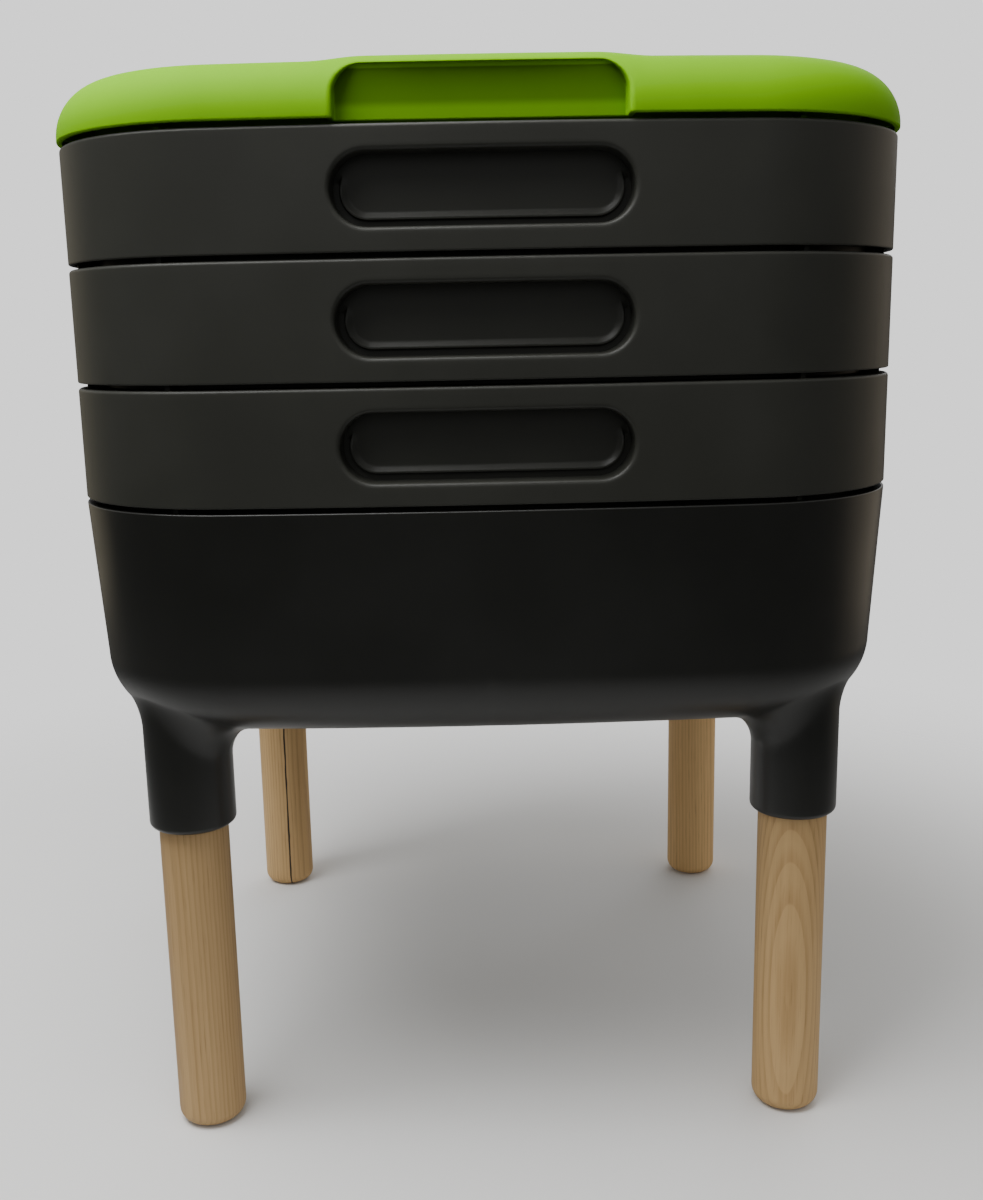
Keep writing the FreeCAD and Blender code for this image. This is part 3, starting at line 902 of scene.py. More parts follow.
def window_border(along: np.ndarray, heights: np.ndarray, open_below: bool) -> np.ndarray:
    """Border points of a window in a wall, from its lower left corner round by the left, top and right.

    Args:
        along: the columns.
        heights: the rows.
        open_below: leave out the lower edge.

    Returns:
        Points as (along, height); a closed border repeats its first point at the end.
    """
    left = [(along[0], height) for height in heights]
    top = [(place, heights[-1]) for place in along[1:]]
    right = [(along[-1], height) for height in heights[-2::-1]]
    below = [] if open_below else [(place, heights[0]) for place in along[-2::-1]]
    return np.array(left + top + right + below)


# Lid

@dataclass
class Lid:
    """Crowned lid with a rounded edge, two finger recesses, a locating ring and foot webs."""

    level: float = 471.8
    overhang: float = 0.9
    straight: float = 1.2
    edge_radius: float = 24.0
    wall: float = 2.5
    crown: float = 4.0
    edge_easing: float = 0.8
    last_angle: float = math.radians(87.3)
    window: int = 24
    window_rows: int = 15
    window_angle: float = math.radians(78.0)
    recess_half_width: float = 60.0
    recess_height: float = 20.6
    recess_corner: float = 11.0
    recess_depth: float = 13.0
    lip: float = 2.4
    inner_corner: float = 1.2
    ring_inset: float = 15.7
    ring_wall: float = 2.5
    ring_depth: float = 10.3
    ring_easing: float = 0.7
    ring_under_crown: float = 1.4
    web_thickness: float = 2.5
    web: Outline = ((1.9, 1.0), (9.0, 0.0), (9.0, -2.3), (14.0, -2.3), (16.2, 0.0), (16.2, 22.7),
                    (10.3, 19.6), (4.5, 13.3), (1.9, 7.2))
    hood_rise: float = 1.7
    hood_ends: Band = (48.0, 72.0)
    hood_foot: float = 10.0
    hood_fade: Band = (105.0, 168.0)

    def _profile(self, way: np.ndarray, offset: float) -> tuple[np.ndarray, np.ndarray]:
        """Inset and height of a skin at a distance up the edge.

        Args:
            way: distance up the edge.
            offset: 0 for the outer skin, the wall for the inner one.

        Returns:
            Insets and heights.
        """
        way = np.asarray(way, float)
        low = self.edge_easing if offset == 0.0 else 0.0
        foot = self.straight - self.edge_easing
        angle = np.clip(way - foot, 0.0, None) / self.edge_radius
        rise = self.edge_radius - offset
        inset = self.edge_radius - self.overhang - rise * np.cos(angle)
        share = np.clip(way / foot, 0.0, 1.0)
        return inset, low + (self.straight - low) * share + rise * np.sin(angle)

    def _way_at(self, height: np.ndarray) -> np.ndarray:
        """Distance up the outer edge at which a height is reached.

        Args:
            height: heights above the lower edge.

        Returns:
            Distances up the edge.
        """
        bent = np.arcsin(np.clip((height - self.straight) / self.edge_radius, 0.0, 1.0))
        upright = np.clip(height - self.edge_easing, 0.0, self.straight - self.edge_easing)
        return upright + self.edge_radius * bent

    def _way_of_angle(self, angle: float) -> float:
        """Distance up the edge at an angle of its rounding."""
        return self.straight - self.edge_easing + self.edge_radius * angle

    def _skin(self, shell: Shell, offset: float, ways: np.ndarray, window_top: int) -> np.ndarray:
        """Add the wall and dome of one skin.

        Args:
            shell: where it goes.
            offset: 0 for the outer skin, the wall for the inner one.
            ways: distances up the edge of its rings.
            window_top: rings that the recesses' windows take.

        Returns:
            The lowest ring.
        """

        def in_window(row: int, column: int) -> bool:
            """Quads that the recesses replace."""
            return row < window_top and FOOTPRINT.in_front_window(column, self.window)

        insets, heights = self._profile(ways, offset)
        rows = FOOTPRINT.rings(list(zip(insets, heights)))
        shell.grid(rows, True, in_window)
        shares = np.concatenate([np.linspace(1.0, 0.75, 9), np.linspace(0.68, 0.05, 10)])
        domes = []
        for share in shares:
            ring = rows[-1] * (share, share, 1.0)
            ring[:, 2] += self.crown * (1.0 - share ** 2)
            domes.append(ring)
        shell.grid(np.stack(domes), True)
        shell.cap(domes[-1])
        return rows[0]

    def _outline(self, count_side: int, count_top: int) -> np.ndarray:
        """Arch outline of the recess.

        Args:
            count_side: points up each side.
            count_top: points over the top.

        Returns:
            Points as (along, height), from foot to foot.
        """
        low = self.edge_easing
        spring = self.recess_height - self.recess_corner
        quarter = self.recess_corner * math.pi / 2
        side = spring - low + quarter / 2
        top = quarter + 2 * (self.recess_half_width - self.recess_corner)
        total = 2 * side + top
        stops = np.concatenate([np.linspace(0, side, count_side),
                                np.linspace(side, side + top, count_top)[1:],
                                np.linspace(side + top, total, count_side)[1:]])
        points = []
        for stop in stops:
            mirror = stop > total / 2
            way = total - stop if mirror else stop
            if way <= spring - low:
                spot = (-self.recess_half_width, low + way)
            elif way <= spring - low + quarter:
                angle = (way - spring + low) / self.recess_corner
                spot = (-self.recess_half_width + self.recess_corner * (1 - math.cos(angle)),
                        spring + self.recess_corner * math.sin(angle))
            else:
                spot = (-self.recess_half_width + self.recess_corner + way - spring + low - quarter,
                        self.recess_height)
            points.append((-spot[0], spot[1]) if mirror else spot)
        return np.array(points)

    @staticmethod
    def _outwards(outline: np.ndarray) -> np.ndarray:
        """Unit normals of an arch outline, level at its two feet.

        Args:
            outline: points as (along, height).

        Returns:
            One normal for each point.
        """
        run = np.gradient(outline, axis=0)
        normal = np.stack([-run[:, 1], run[:, 0]], -1)
        normal[0], normal[-1] = (-1.0, 0.0), (1.0, 0.0)
        return normal / np.linalg.norm(normal, axis=1, keepdims=True)

    def _on_skin(self, along: np.ndarray, way: np.ndarray, offset: float, back: bool) -> np.ndarray:
        """Points of a skin at the front or back."""
        inset, height = self._profile(way, offset)
        return FOOTPRINT.on_face(along, inset, height, back)

    def _recess(self, shell: Shell, ways: np.ndarray, back: bool) -> np.ndarray:
        """Add the recess on the outer skin.

        Args:
            shell: where it goes.
            ways: distances up the edge of the skin's rings.
            back: at the back instead of the front.

        Returns:
            Path of its lower edge.
        """
        places = FOOTPRINT.window_places(self.window)
        border = window_border(places, ways[:self.window_rows], True)
        outline = self._outline(self.window_rows, len(places))
        flat = np.stack([outline[:, 0], self._way_at(outline[:, 1])], -1)
        lip_line = flat + self._outwards(flat) * self.lip
        rings = []
        for share in np.linspace(0.0, 1.0, 7):
            spot = border * (1 - share) + lip_line * share
            rings.append(self._on_skin(spot[:, 0], spot[:, 1], 0.0, back))
        inward = np.array([0.0, -1.0 if back else 1.0, 0.0])
        corner = self._on_skin(flat[:, 0], flat[:, 1], 0.0, back)
        end = corner + inward * self.lip
        for share in np.linspace(0.0, 1.0, 7)[1:]:
            rings.append((1 - share) ** 2 * rings[6] + 2 * share * (1 - share) * corner + share ** 2 * end)
        wall_y = inward[1] * (self.recess_depth - FOOTPRINT.half_width - self.overhang)
        fillet_y = wall_y - inward[1] * self.inner_corner
        for share in (0.5, 1.0):
            ring = end.copy()
            ring[:, 1] += (fillet_y - ring[:, 1]) * share
            rings.append(ring)
        shrink = -self._outwards(outline)
        if back:
            shrink[:, 0] *= -1.0
        for angle in np.linspace(0.0, RIGHT_ANGLE, 5)[1:]:
            ring = end.copy()
            step = self.inner_corner * (1 - math.cos(angle))
            ring[:, 0] += shrink[:, 0] * step
            ring[:, 2] += shrink[:, 1] * step
            ring[:, 1] = fillet_y + inward[1] * self.inner_corner * math.sin(angle)
            rings.append(ring)
        shell.grid(np.stack(rings))
        shell.cap(rings[-1])
        return np.array([ring[0] for ring in rings] + [ring[-1] for ring in reversed(rings)])

    def _recess_back(self, shell: Shell, ways: np.ndarray, back: bool) -> np.ndarray:
        """Add the inner side of the recess's walls.

        Args:
            shell: where it goes.
            ways: distances up the edge of the skin's rings.
            back: at the back instead of the front.

        Returns:
            Path of its lower edge.
        """
        places = FOOTPRINT.window_places(self.window)
        border = window_border(places, ways[:self.window_rows], True)
        half = self.recess_half_width + self.wall
        reach = self.edge_radius - self.recess_depth - self.wall
        top = self._way_of_angle(math.acos(reach / (self.edge_radius - self.wall)))
        side = np.linspace(0.0, top, self.window_rows)
        hole = window_border(np.linspace(-half, half, len(places)), side, True)
        rings = []
        for share in np.linspace(0.0, 1.0, 5):
            spot = border * (1 - share) + hole * share
            rings.append(self._on_skin(spot[:, 0], spot[:, 1], self.wall, back))
        foot = rings[-1] * (1.0, 1.0, 0.0)
        shell.grid(np.stack(rings + [rings[-1] * (1.0, 1.0, 0.5), foot]))
        return np.vstack([[ring[0] for ring in rings], foot, [ring[-1] for ring in reversed(rings)]])

    def _edge_loop(self, ring: np.ndarray, path_back: np.ndarray, path_front: np.ndarray) -> np.ndarray:
        """Whole lower edge: the ring, with the paths of the two recesses in place of their windows.

        Args:
            ring: lowest ring of a skin.
            path_back: path of the back recess.
            path_front: path of the front recess.

        Returns:
            The edge as one loop, without double points.
        """
        middle = FOOTPRINT.quarter_steps
        first, second = middle - self.window, 3 * middle - self.window
        width = 2 * self.window
        loop = np.vstack([ring[:first], path_back, ring[first + width + 1:second], path_front,
                          ring[second + width + 1:]])
        step = np.linalg.norm(loop - np.roll(loop, 1, axis=0), axis=1)
        return loop[step > 0.001]

    def _rounded_edge(self, loop: np.ndarray) -> np.ndarray:
        """Rows that round the outer lower edge, from the skin down to the underside.

        Args:
            loop: whole lower edge of the outer skin.

        Returns:
            Rows of points.
        """
        run = np.roll(loop, -1, axis=0) - np.roll(loop, 1, axis=0)
        normal = np.stack([-run[:, 1], run[:, 0], 0 * run[:, 0]], -1)
        normal /= np.linalg.norm(normal, axis=1, keepdims=True)
        rows = []
        for angle in np.linspace(0.0, RIGHT_ANGLE, 5):
            row = loop + normal * self.edge_easing * (1 - math.cos(angle))
            row[:, 2] = self.edge_easing * (1 - math.sin(angle))
            rows.append(row)
        return np.stack(rows)

    def _moulding(self) -> bpy.types.Object:
        """The lid's wall, dome and recesses as one closed mesh at height zero.

        Returns:
            The object.
        """
        window_top = self._way_of_angle(self.window_angle)
        ways = np.concatenate([np.linspace(0.0, window_top, self.window_rows),
                               np.linspace(window_top, self._way_of_angle(self.last_angle), 4)[1:]])
        shell = Shell()
        low_outer = self._skin(shell, 0.0, ways, self.window_rows - 1)
        low_inner = self._skin(shell, self.wall, ways, self.window_rows - 1)
        outer = self._edge_loop(low_outer, self._recess(shell, ways, True), self._recess(shell, ways, False))
        inner = self._edge_loop(low_inner, self._recess_back(shell, ways, True),
                                self._recess_back(shell, ways, False))
        rounding = self._rounded_edge(outer)
        shell.grid(rounding, True)
        made = shell.piece("lid_moulding", False)
        return close_underside(made, rounding[-1], inner)

    def _raise_hoods(self, mesh: bpy.types.Mesh) -> None:
        """Arch the shoulder of the lid gently upwards over each recess.

        Args:
            mesh: the lid's mesh, at height zero.
        """
        flat = np.empty(3 * len(mesh.vertices))
        mesh.vertices.foreach_get("co", flat)
        spots = flat.reshape(-1, 3) / MM
        shoulder = self.straight + self.edge_radius
        height = np.clip((spots[:, 2] - self.hood_foot) / (shoulder - self.hood_foot), 0.0, 1.0)
        near, far = self.hood_fade
        edge = np.clip((np.abs(spots[:, 1]) - near) / (far - near), 0.0, 1.0)
        inner, outer = self.hood_ends
        across = np.clip((outer - np.abs(spots[:, 0])) / (outer - inner), 0.0, 1.0)
        rise = np.full(len(spots), self.hood_rise)
        for share in (height, edge, across):
            rise *= share * share * (3 - 2 * share)
        spots[:, 2] += rise
        mesh.vertices.foreach_set("co", (spots * MM).ravel())

    def build(self) -> None:
        """Make the lid and dress it."""
        made = self._moulding()
        inside = Shell()
        low, high = -self.ring_depth, self.edge_radius - self.ring_under_crown
        near, far = self.ring_inset, self.ring_inset + self.ring_wall
        section = eased_line([(near, low, self.ring_easing), (far, low, self.ring_easing), (far, high),
                              (near, high)], 3, True)
        inside.grid(FOOTPRINT.rings(section), True)
        webs = corner_plates("lid_webs", self.web, self.web_thickness)
        lid = joined(made, [inside.piece("lid_ring"), webs])
        self._raise_hoods(lid.data)
        lid.data.transform(Matrix.Translation((0.0, 0.0, self.level * MM)))
        lid.name = "lid_shell"
        finish_piece(lid, "lid", Finish.LID.material(), "lid")


def close_underside(made: bpy.types.Object, outer: np.ndarray, inner: np.ndarray) -> bpy.types.Object:
    """Fill the flat ring between two loops of different counts and weld it to the piece.

    Args:
        made: the piece.
        outer: outer loop.
        inner: inner loop.

    Returns:
        The same piece, closed.
    """
    work = bmesh.new()
    edges = []
    for loop in (outer, inner):
        corners = [work.verts.new(point * MM) for point in loop]
        edges += [work.edges.new((corners[index - 1], corners[index])) for index in range(len(corners))]
    bmesh.ops.triangle_fill(work, use_beauty=True, use_dissolve=False, edges=edges, normal=(0.0, 0.0, -1.0))
    mesh = bpy.data.meshes.new("underside")
    work.to_mesh(mesh)
    work.free()
    ring = bpy.data.objects.new("underside", mesh)
    bpy.context.collection.objects.link(ring)
    return joined(made, [ring])


PLATE_ANGLE = math.radians(25.0)


def corner_plates(name: str, outline: Outline, thickness: float) -> bpy.types.Object:
    """Pair of plates at each corner of the footprint.

    Args:
        name: name of the object.
        outline: corners as (inset, z).
        thickness: thickness of a plate.

    Returns:
        The plates as one object.
    """
    points = np.array([(-inset, -thickness / 2, z) for inset, z in outline])
    plate = Shell()
    plate.slab(points, np.array([0.0, thickness, 0.0]))
    made = plate.piece(name)
    tree = bpy.data.node_groups.get("corner_plates") or corner_plates_tree()
    return grown(made, tree, {"Corner At": FOOTPRINT.corner_at * MM,
                              "Corner Radius": FOOTPRINT.corner_radius * MM, "Angle": PLATE_ANGLE})


# Trays

class Level(Enum):
    """Each tray and the height of its skirt's lower edge."""

    LOWER = ("lower_tray", 314.3)
    MIDDLE = ("middle_tray", 366.8)
    UPPER = ("upper_tray", 419.3)


@dataclass
class Tray:
    """Double-walled tray with finger pockets, foot webs and a slotted floor."""

    skirt_height: float = 50.2
    wall: float = 3.0
    tub_inset: float = 12.0
    tub_wall: float = 2.5
    nest_gap: float = 0.8
    stack_gap: float = 2.3
    nest_depth: float = 20.0
    floor: float = 2.5
    window: int = 24
    window_low: float = 1.0
    window_high: float = 46.0
    window_rows: int = 16
    pocket_half_length: float = 47.6
    pocket_radius: float = 14.9
    pocket_drop: float = 25.3
    pocket_depth: float = 11.0
    pocket_lip: float = 2.0
    pocket_groove: float = 13.7
    pocket_crest: float = 9.6
    pocket_ridge: float = 11.7
    pocket_dish: float = 8.7
    pocket_back: float = 14.2
    pocket_wall: float = 2.5
    pocket_turn: Band = (0.55, 0.7)
    floor_inset: float = 24.0
    web_thickness: float = 2.5
    web: Outline = ((2.5, 47.7), (2.5, 0.5), (4.0, 0.0), (4.0, -2.3), (12.5, -2.3), (12.5, 47.7))

    def _section(self) -> list[tuple[float, float]]:
        """Section of the tray from the floor's upper face, round the skirt, to the floor's underside.

        Returns:
            Points as (inset, z).
        """
        inner = self.tub_inset + self.tub_wall
        nest = self.tub_inset + self.tub_wall + self.nest_gap
        foot = -self.stack_gap
        low = foot - self.nest_depth
        rows = np.linspace(self.window_high, self.window_low, self.window_rows)
        under_rim = self.skirt_height - self.wall
        inside = [(self.floor_inset, low + self.floor), (nest + self.tub_wall, low + self.floor, 2.0),
                  (nest + self.tub_wall, foot + self.tub_wall, 0.8), (inner, foot + self.tub_wall, 0.8),
                  (inner, self.skirt_height, 1.0), (0.0, self.skirt_height, 1.6)]
        skirt = [(0.0, float(row)) for row in rows] + [(0.0, 0.0, 0.7), (self.wall, 0.0, 0.5)]
        skirt += [(self.wall, float(row)) for row in rows[::-1]]
        outside = [(self.wall, under_rim, 0.8), (self.tub_inset, under_rim, 0.8), (self.tub_inset, foot, 0.4),
                   (nest, foot, 0.4), (nest, low, 2.0), (self.floor_inset, low)]
        return eased_line(inside + skirt + outside, 5)

    def _pocket(self, shell: Shell, back: bool, base: float,
                profile: list[tuple[float, float, float]]) -> None:
        """Add a pill pocket in a window of one skin.

        Args:
            shell: where it goes.
            back: at the back instead of the front.
            base: depth of the skin.
            profile: (radius of the pill, depth, depth in the upper half) from the skin to the floor.
        """
        places = FOOTPRINT.window_places(self.window)
        heights = np.linspace(self.window_low, self.window_high, self.window_rows)
        border = window_border(places, heights, False)
        middle = np.stack([np.clip(border[:, 0], -self.pocket_half_length, self.pocket_half_length),
                           np.full(len(border), self.skirt_height - self.pocket_drop)], -1)
        outwards = border - middle
        outwards /= np.linalg.norm(outwards, axis=1, keepdims=True)
        rings = []
        rim = middle + outwards * profile[0][0]
        for share in np.linspace(0.0, 1.0, 6):
            spot = border * (1 - share) + rim * share
            rings.append(FOOTPRINT.on_face(spot[:, 0], np.full(len(spot), base), spot[:, 1], back))
        start, span = self.pocket_turn
        low = np.clip((start - outwards[:, 1]) / span, 0.0, 1.0)
        low *= low * (3 - 2 * low)
        for radius, depth, upper in profile[1:]:
            spot = middle + outwards * radius
            rings.append(FOOTPRINT.on_face(spot[:, 0], depth * low + upper * (1 - low), spot[:, 1], back))
        shell.grid(np.stack(rings))

    def _moulding(self) -> bpy.types.Object:
        """Walls, rim and pockets as a mesh with its floor left open.

        Returns:
            The object.
        """
        section = self._section()
        outer_first = section.index((0.0, self.window_high))
        inner_first = section.index((self.wall, self.window_low))
        rows = self.window_rows - 1

        def in_window(row: int, column: int) -> bool:
            """Quads that the pockets replace."""
            inside = outer_first <= row < outer_first + rows or inner_first <= row < inner_first + rows
            return inside and FOOTPRINT.in_front_window(column, self.window)

        shell = Shell()
        shell.grid(FOOTPRINT.rings(section), True, in_window)
        radius, depth = self.pocket_radius, self.pocket_depth
        ridge, crest = self.pocket_ridge, self.pocket_crest
        cavity = eased_line([(radius + self.pocket_lip + 1.2, 0.0), (radius, 0.0, self.pocket_lip),
                             (radius - 0.3, self.pocket_groove, 1.0), (ridge + 0.6, self.pocket_groove, 0.6),
                             (ridge, crest, 0.5), (ridge - 1.0, crest, 0.4), (self.pocket_dish, depth, 2.2),
                             (0.0, depth)], 5)
        cavity[-1:] = [(share * self.pocket_dish, depth) for share in (0.6, 0.3, 0.0)]
        cavity = [(reach, deep, min(deep, depth) if reach > ridge + 0.7 else depth) for reach, deep in cavity]
        outer = radius + self.pocket_wall
        cup = eased_line([(outer + 2.0, self.wall), (outer, self.wall, 0.8),
                          (outer, self.pocket_back), (0.0, self.pocket_back)], 4)
        cup = [(reach, deep, deep) for reach, deep in cup]
        for back in (False, True):
            self._pocket(shell, back, 0.0, cavity)
            self._pocket(shell, back, self.wall, cup)
        return shell.piece("tray_moulding", False)

    def _floor(self) -> bpy.types.Object:
        """Slotted floor, grown inside the walls' outline.

        Returns:
            The object.
        """
        low = -self.stack_gap - self.nest_depth
        ring = FOOTPRINT.ring(self.floor_inset, low) * MM
        mesh = bpy.data.meshes.new("tray_floor")
        count = len(ring)
        mesh.from_pydata(ring.tolist(), [(index, (index + 1) % count) for index in range(count)], [])
        made = bpy.data.objects.new("tray_floor", mesh)
        bpy.context.collection.objects.link(made)
        return grown(made, slotted_floor_tree(), {"Underside": low * MM, "Thickness": self.floor * MM})

    def build(self) -> None:
        """Make the three trays and dress them."""
        made = self._moulding()
        floor = self._floor()
        first = joined(made, [floor, corner_plates("tray_webs", self.web, self.web_thickness)])
        for level in Level:
            node, height = level.value
            tray = first.copy()
            tray.data = first.data.copy()
            tray.name = node + "_shell"
            bpy.context.collection.objects.link(tray)
            tray.data.transform(Matrix.Translation((0.0, 0.0, height * MM)))
            finish_piece(tray, node, Finish.TRAY.material(), node)
        bpy.data.objects.remove(first)


# Collector

@dataclass
class Collector:
    """Bowl with round leg sockets blended into its corners, seat gussets and the tap's bosses."""

    rim: float = 312.0
    bottom: float = 207.0
    wall: float = 3.0
    draft: float = math.tan(math.radians(3.4))
    edge_radius: float = 32.0
    rim_easing: float = 0.8
    leg_axis: float = 145.5
    socket_radius: float = 20.6
    socket_bore: float = 16.55
    socket_mouth: float = 157.0
    socket_lip: float = 2.6
    blend: float = 17.0
    blend_fall: float = 1.7
    least_blend: float = 0.01
    pivot: float = 250.0
    path_steps: int = 58
    ray_rows: int = 320
    ray_length: float = 420.0
    ray_halvings: int = 44
    turn_weight: float = 16.0
    gusset_thickness: float = 6.0
    tap_height: float = 236.0
    tap_bosses: tuple[tuple[float, float, float], ...] = ((20.0, 192.99, 1.0), (14.5, 181.0, -1.0))
    boss_sides: int = 96

    def _wall_inset(self, z: np.ndarray) -> np.ndarray:
        """Inset of the outer wall at a height."""
        return self.draft * (self.rim - z)

    def _bowl(self, point: np.ndarray) -> tuple[np.ndarray, np.ndarray]:
        """Distance outside the bowl and its outward direction, for points of the first quarter.

        Args:
            point: points with x and y above zero.

        Returns:
            Distances and unit vectors.
        """
        x, y, z = point[..., 0], point[..., 1], point[..., 2]
        at = FOOTPRINT.corner_at
        side = FOOTPRINT.side_radius - FOOTPRINT.half_width
        angle = np.arctan2(y - at, x - at)
        in_corner = (angle > FOOTPRINT.side_angle) & (angle < RIGHT_ANGLE - FOOTPRINT.side_angle)
        above = (y > x) & ~in_corner
        centre_x = np.where(in_corner, at, np.where(above, 0.0, -side))
        centre_y = np.where(in_corner, at, np.where(above, -side, 0.0))
        radius = np.where(in_corner, FOOTPRINT.corner_radius, FOOTPRINT.side_radius)
        out_x, out_y = x - centre_x, y - centre_y
        length = np.hypot(out_x, out_y)
        out_x, out_y = out_x / length, out_y / length
        inside_wall = radius - length - self._wall_inset(np.maximum(z, self.bottom + self.edge_radius))
        above_bottom = z - self.bottom
        lack_wall = np.clip(self.edge_radius - inside_wall, 0.0, None)
        lack_bottom = np.clip(self.edge_radius - above_bottom, 0.0, None)
        lack = np.hypot(lack_wall, lack_bottom)
        distance = np.where(lack > 0, lack - self.edge_radius, -np.minimum(inside_wall, above_bottom))
        near = np.clip(lack, TINY, None)
        level, down = lack_wall / near, lack_bottom / near
        return distance, np.stack([out_x * level, out_y * level, -down], -1)

    def _outside(self, point: np.ndarray) -> np.ndarray:
        """Distance outside the bowl and socket, with the blend where they meet at an angle.

        Args:
            point: points with x and y above zero.

        Returns:
            Distances, negative inside.
        """
        bowl, normal = self._bowl(point)
        off_x, off_y = point[..., 0] - self.leg_axis, point[..., 1] - self.leg_axis
        reach = np.hypot(off_x, off_y)
        socket = reach - self.socket_radius
        near = np.clip(reach, TINY, None)
        along = (off_x * normal[..., 0] + off_y * normal[..., 1]) / near
        radius = self.blend * np.clip(1.0 - along ** 2, 0.0, 1.0) ** self.blend_fall + self.least_blend
        lack = np.hypot(np.clip(radius - bowl, 0.0, None), np.clip(radius - socket, 0.0, None))
        return np.maximum(radius, np.minimum(bowl, socket)) - lack

    def _border(self) -> np.ndarray:
        """Edge of the first quarter of the outside, from the bottom's centre round by the back and right.

        Returns:
            Points from the bottom's centre and back to it.
        """
        top = self.rim - self.rim_easing
        low_inset = float(self._wall_inset(np.array(self.bottom + self.edge_radius)))
        start = low_inset + self.edge_radius
        flat = [(FOOTPRINT.half_width - reach, self.bottom)
                for reach in np.linspace(FOOTPRINT.half_width, start, 30)[:-1]]
        bend = []
        for angle in np.linspace(0.0, RIGHT_ANGLE - math.atan(self.draft), 13):
            z = self.bottom + self.edge_radius * (1 - math.cos(angle))
            bend.append((FOOTPRINT.half_width - start + self.edge_radius * math.sin(angle), z))
        upright = [(FOOTPRINT.half_width - float(self._wall_inset(np.array(z))), z)
                   for z in np.linspace(bend[-1][1], top, 16)[1:]]
        upright = [(reach, z) for reach, z in flat + bend + upright]
        ring = FOOTPRINT.ring(float(self._wall_inset(np.array(top))), top)[:FOOTPRINT.quarter_steps + 1]
        back = [(0.0, reach, z) for reach, z in upright]
        right = [(reach, 0.0, z) for reach, z in upright[::-1]]
        return np.array(back[:-1] + ring[::-1].tolist() + right[1:])

    def _outside_paths(self) -> np.ndarray:
        """Rows of points from the socket's lip out to the border of the first quarter.

        Returns:
            Array of rows, columns and coordinates.
        """
        border = self._border()
        axis = np.array([self.leg_axis, self.leg_axis, self.pivot])
        off = border - axis
        heading = np.arctan2(off[:, 1], off[:, 0])
        reach = np.hypot(off[:, 0], off[:, 1])
        last = np.arctan2(reach, -off[:, 2])
        first = math.atan2(self.socket_radius, self.pivot - self.socket_mouth - self.socket_lip)
        share = np.linspace(0.0, 1.0, self.ray_rows)[:, None]
        dip = first + (last - first)[None, :] * share
        ray = np.stack([np.sin(dip) * np.cos(heading), np.sin(dip) * np.sin(heading), -np.cos(dip)], -1)
        near = np.zeros(dip.shape)
        far = np.full(dip.shape, self.ray_length)
        for _ in range(self.ray_halvings):
            middle = (near + far) / 2
            outside = self._outside(axis + ray * middle[..., None]) > 0
            far = np.where(outside, middle, far)
            near = np.where(outside, near, middle)
        line = axis + ray * near[..., None]
        line[-1] = border
        step = np.diff(line, axis=0)
        length = np.linalg.norm(step, axis=2)
        unit = step / np.clip(length, TINY, None)[..., None]
        turn = np.zeros(length.shape)
        turn[1:] = np.arccos(np.clip((unit[1:] * unit[:-1]).sum(-1), -1.0, 1.0))
        weight = np.vstack([np.zeros(border.shape[0]), np.cumsum(length + self.turn_weight * turn, axis=0)])
        rows = np.empty((self.path_steps, border.shape[0], 3))
        for column in range(border.shape[0]):
            way = weight[:, column]
            stops = np.linspace(0.0, way[-1], self.path_steps)
            for axis_number in range(3):
                rows[:, column, axis_number] = np.interp(stops, way, line[:, column, axis_number])
        for axis_number in (0, 1):
            on_plane = border[:, axis_number] == 0.0
            rows[-1, on_plane, axis_number] = 0.0
        return rows

    def _socket_mouth_rows(self, ring: np.ndarray) -> np.ndarray:
        """Rows from inside the bore, round the mouth's lip, to the first ring of the outside.

        Args:
            ring: first ring of the outside.

        Returns:
            Array of rows, columns and coordinates.
        """
        off = ring[:, :2] - self.leg_axis
        unit = off / np.linalg.norm(off, axis=1, keepdims=True)
        section = eased_line([(self.socket_bore, self.bottom), (self.socket_bore, self.socket_mouth, 0.8),
                              (self.socket_radius, self.socket_mouth, self.socket_lip),
                              (self.socket_radius, self.socket_mouth + 4 * self.socket_lip)], 6)[:-1]
        rows = []
        for radius, z in section:
            rows.append(np.column_stack([self.leg_axis + unit * radius, np.full(len(ring), z)]))
        rows[-1] = ring
        return np.stack(rows)

    def _inside(self, shell: Shell) -> None:
        """Add the rim, the inner wall and the floor.

        Args:
            shell: where they go.
        """
        top = self.rim
        low = self.bottom + self.wall
        easing = self.rim_easing
        outer = float(self._wall_inset(np.array(top - easing)))
        section = [(outer, top - easing)]
        for angle in np.linspace(0.0, RIGHT_ANGLE, 5)[1:]:
            section.append((easing * (1 - math.cos(angle)), top - easing * (1 - math.sin(angle))))
        section.append((self.wall, top))
        inner_low = float(self._wall_inset(np.array(low))) + self.wall
        section += eased_line([(self.wall, top - 0.4), (inner_low, low, self.edge_radius - self.wall),
                               (inner_low + 60.0, low)], 12)[:-1]
        rows = FOOTPRINT.rings(section)
        shell.grid(rows, True)
        shell.cap(rows[-1])

    def _wall_reach(self, z: np.ndarray) -> np.ndarray:
        """Distance of the outer wall from the middle, in the plane through the tap, at a height.

        Args:
            z: heights.

        Returns:
            Distances along Y.
        """
        start = self.bottom + self.edge_radius
        centre = FOOTPRINT.half_width - float(self._wall_inset(np.array(start))) - self.edge_radius
        bend = centre + np.sqrt(np.clip(self.edge_radius ** 2 - (start - z) ** 2, 0.0, None))
        return np.where(z < start, bend, FOOTPRINT.half_width - self._wall_inset(z))

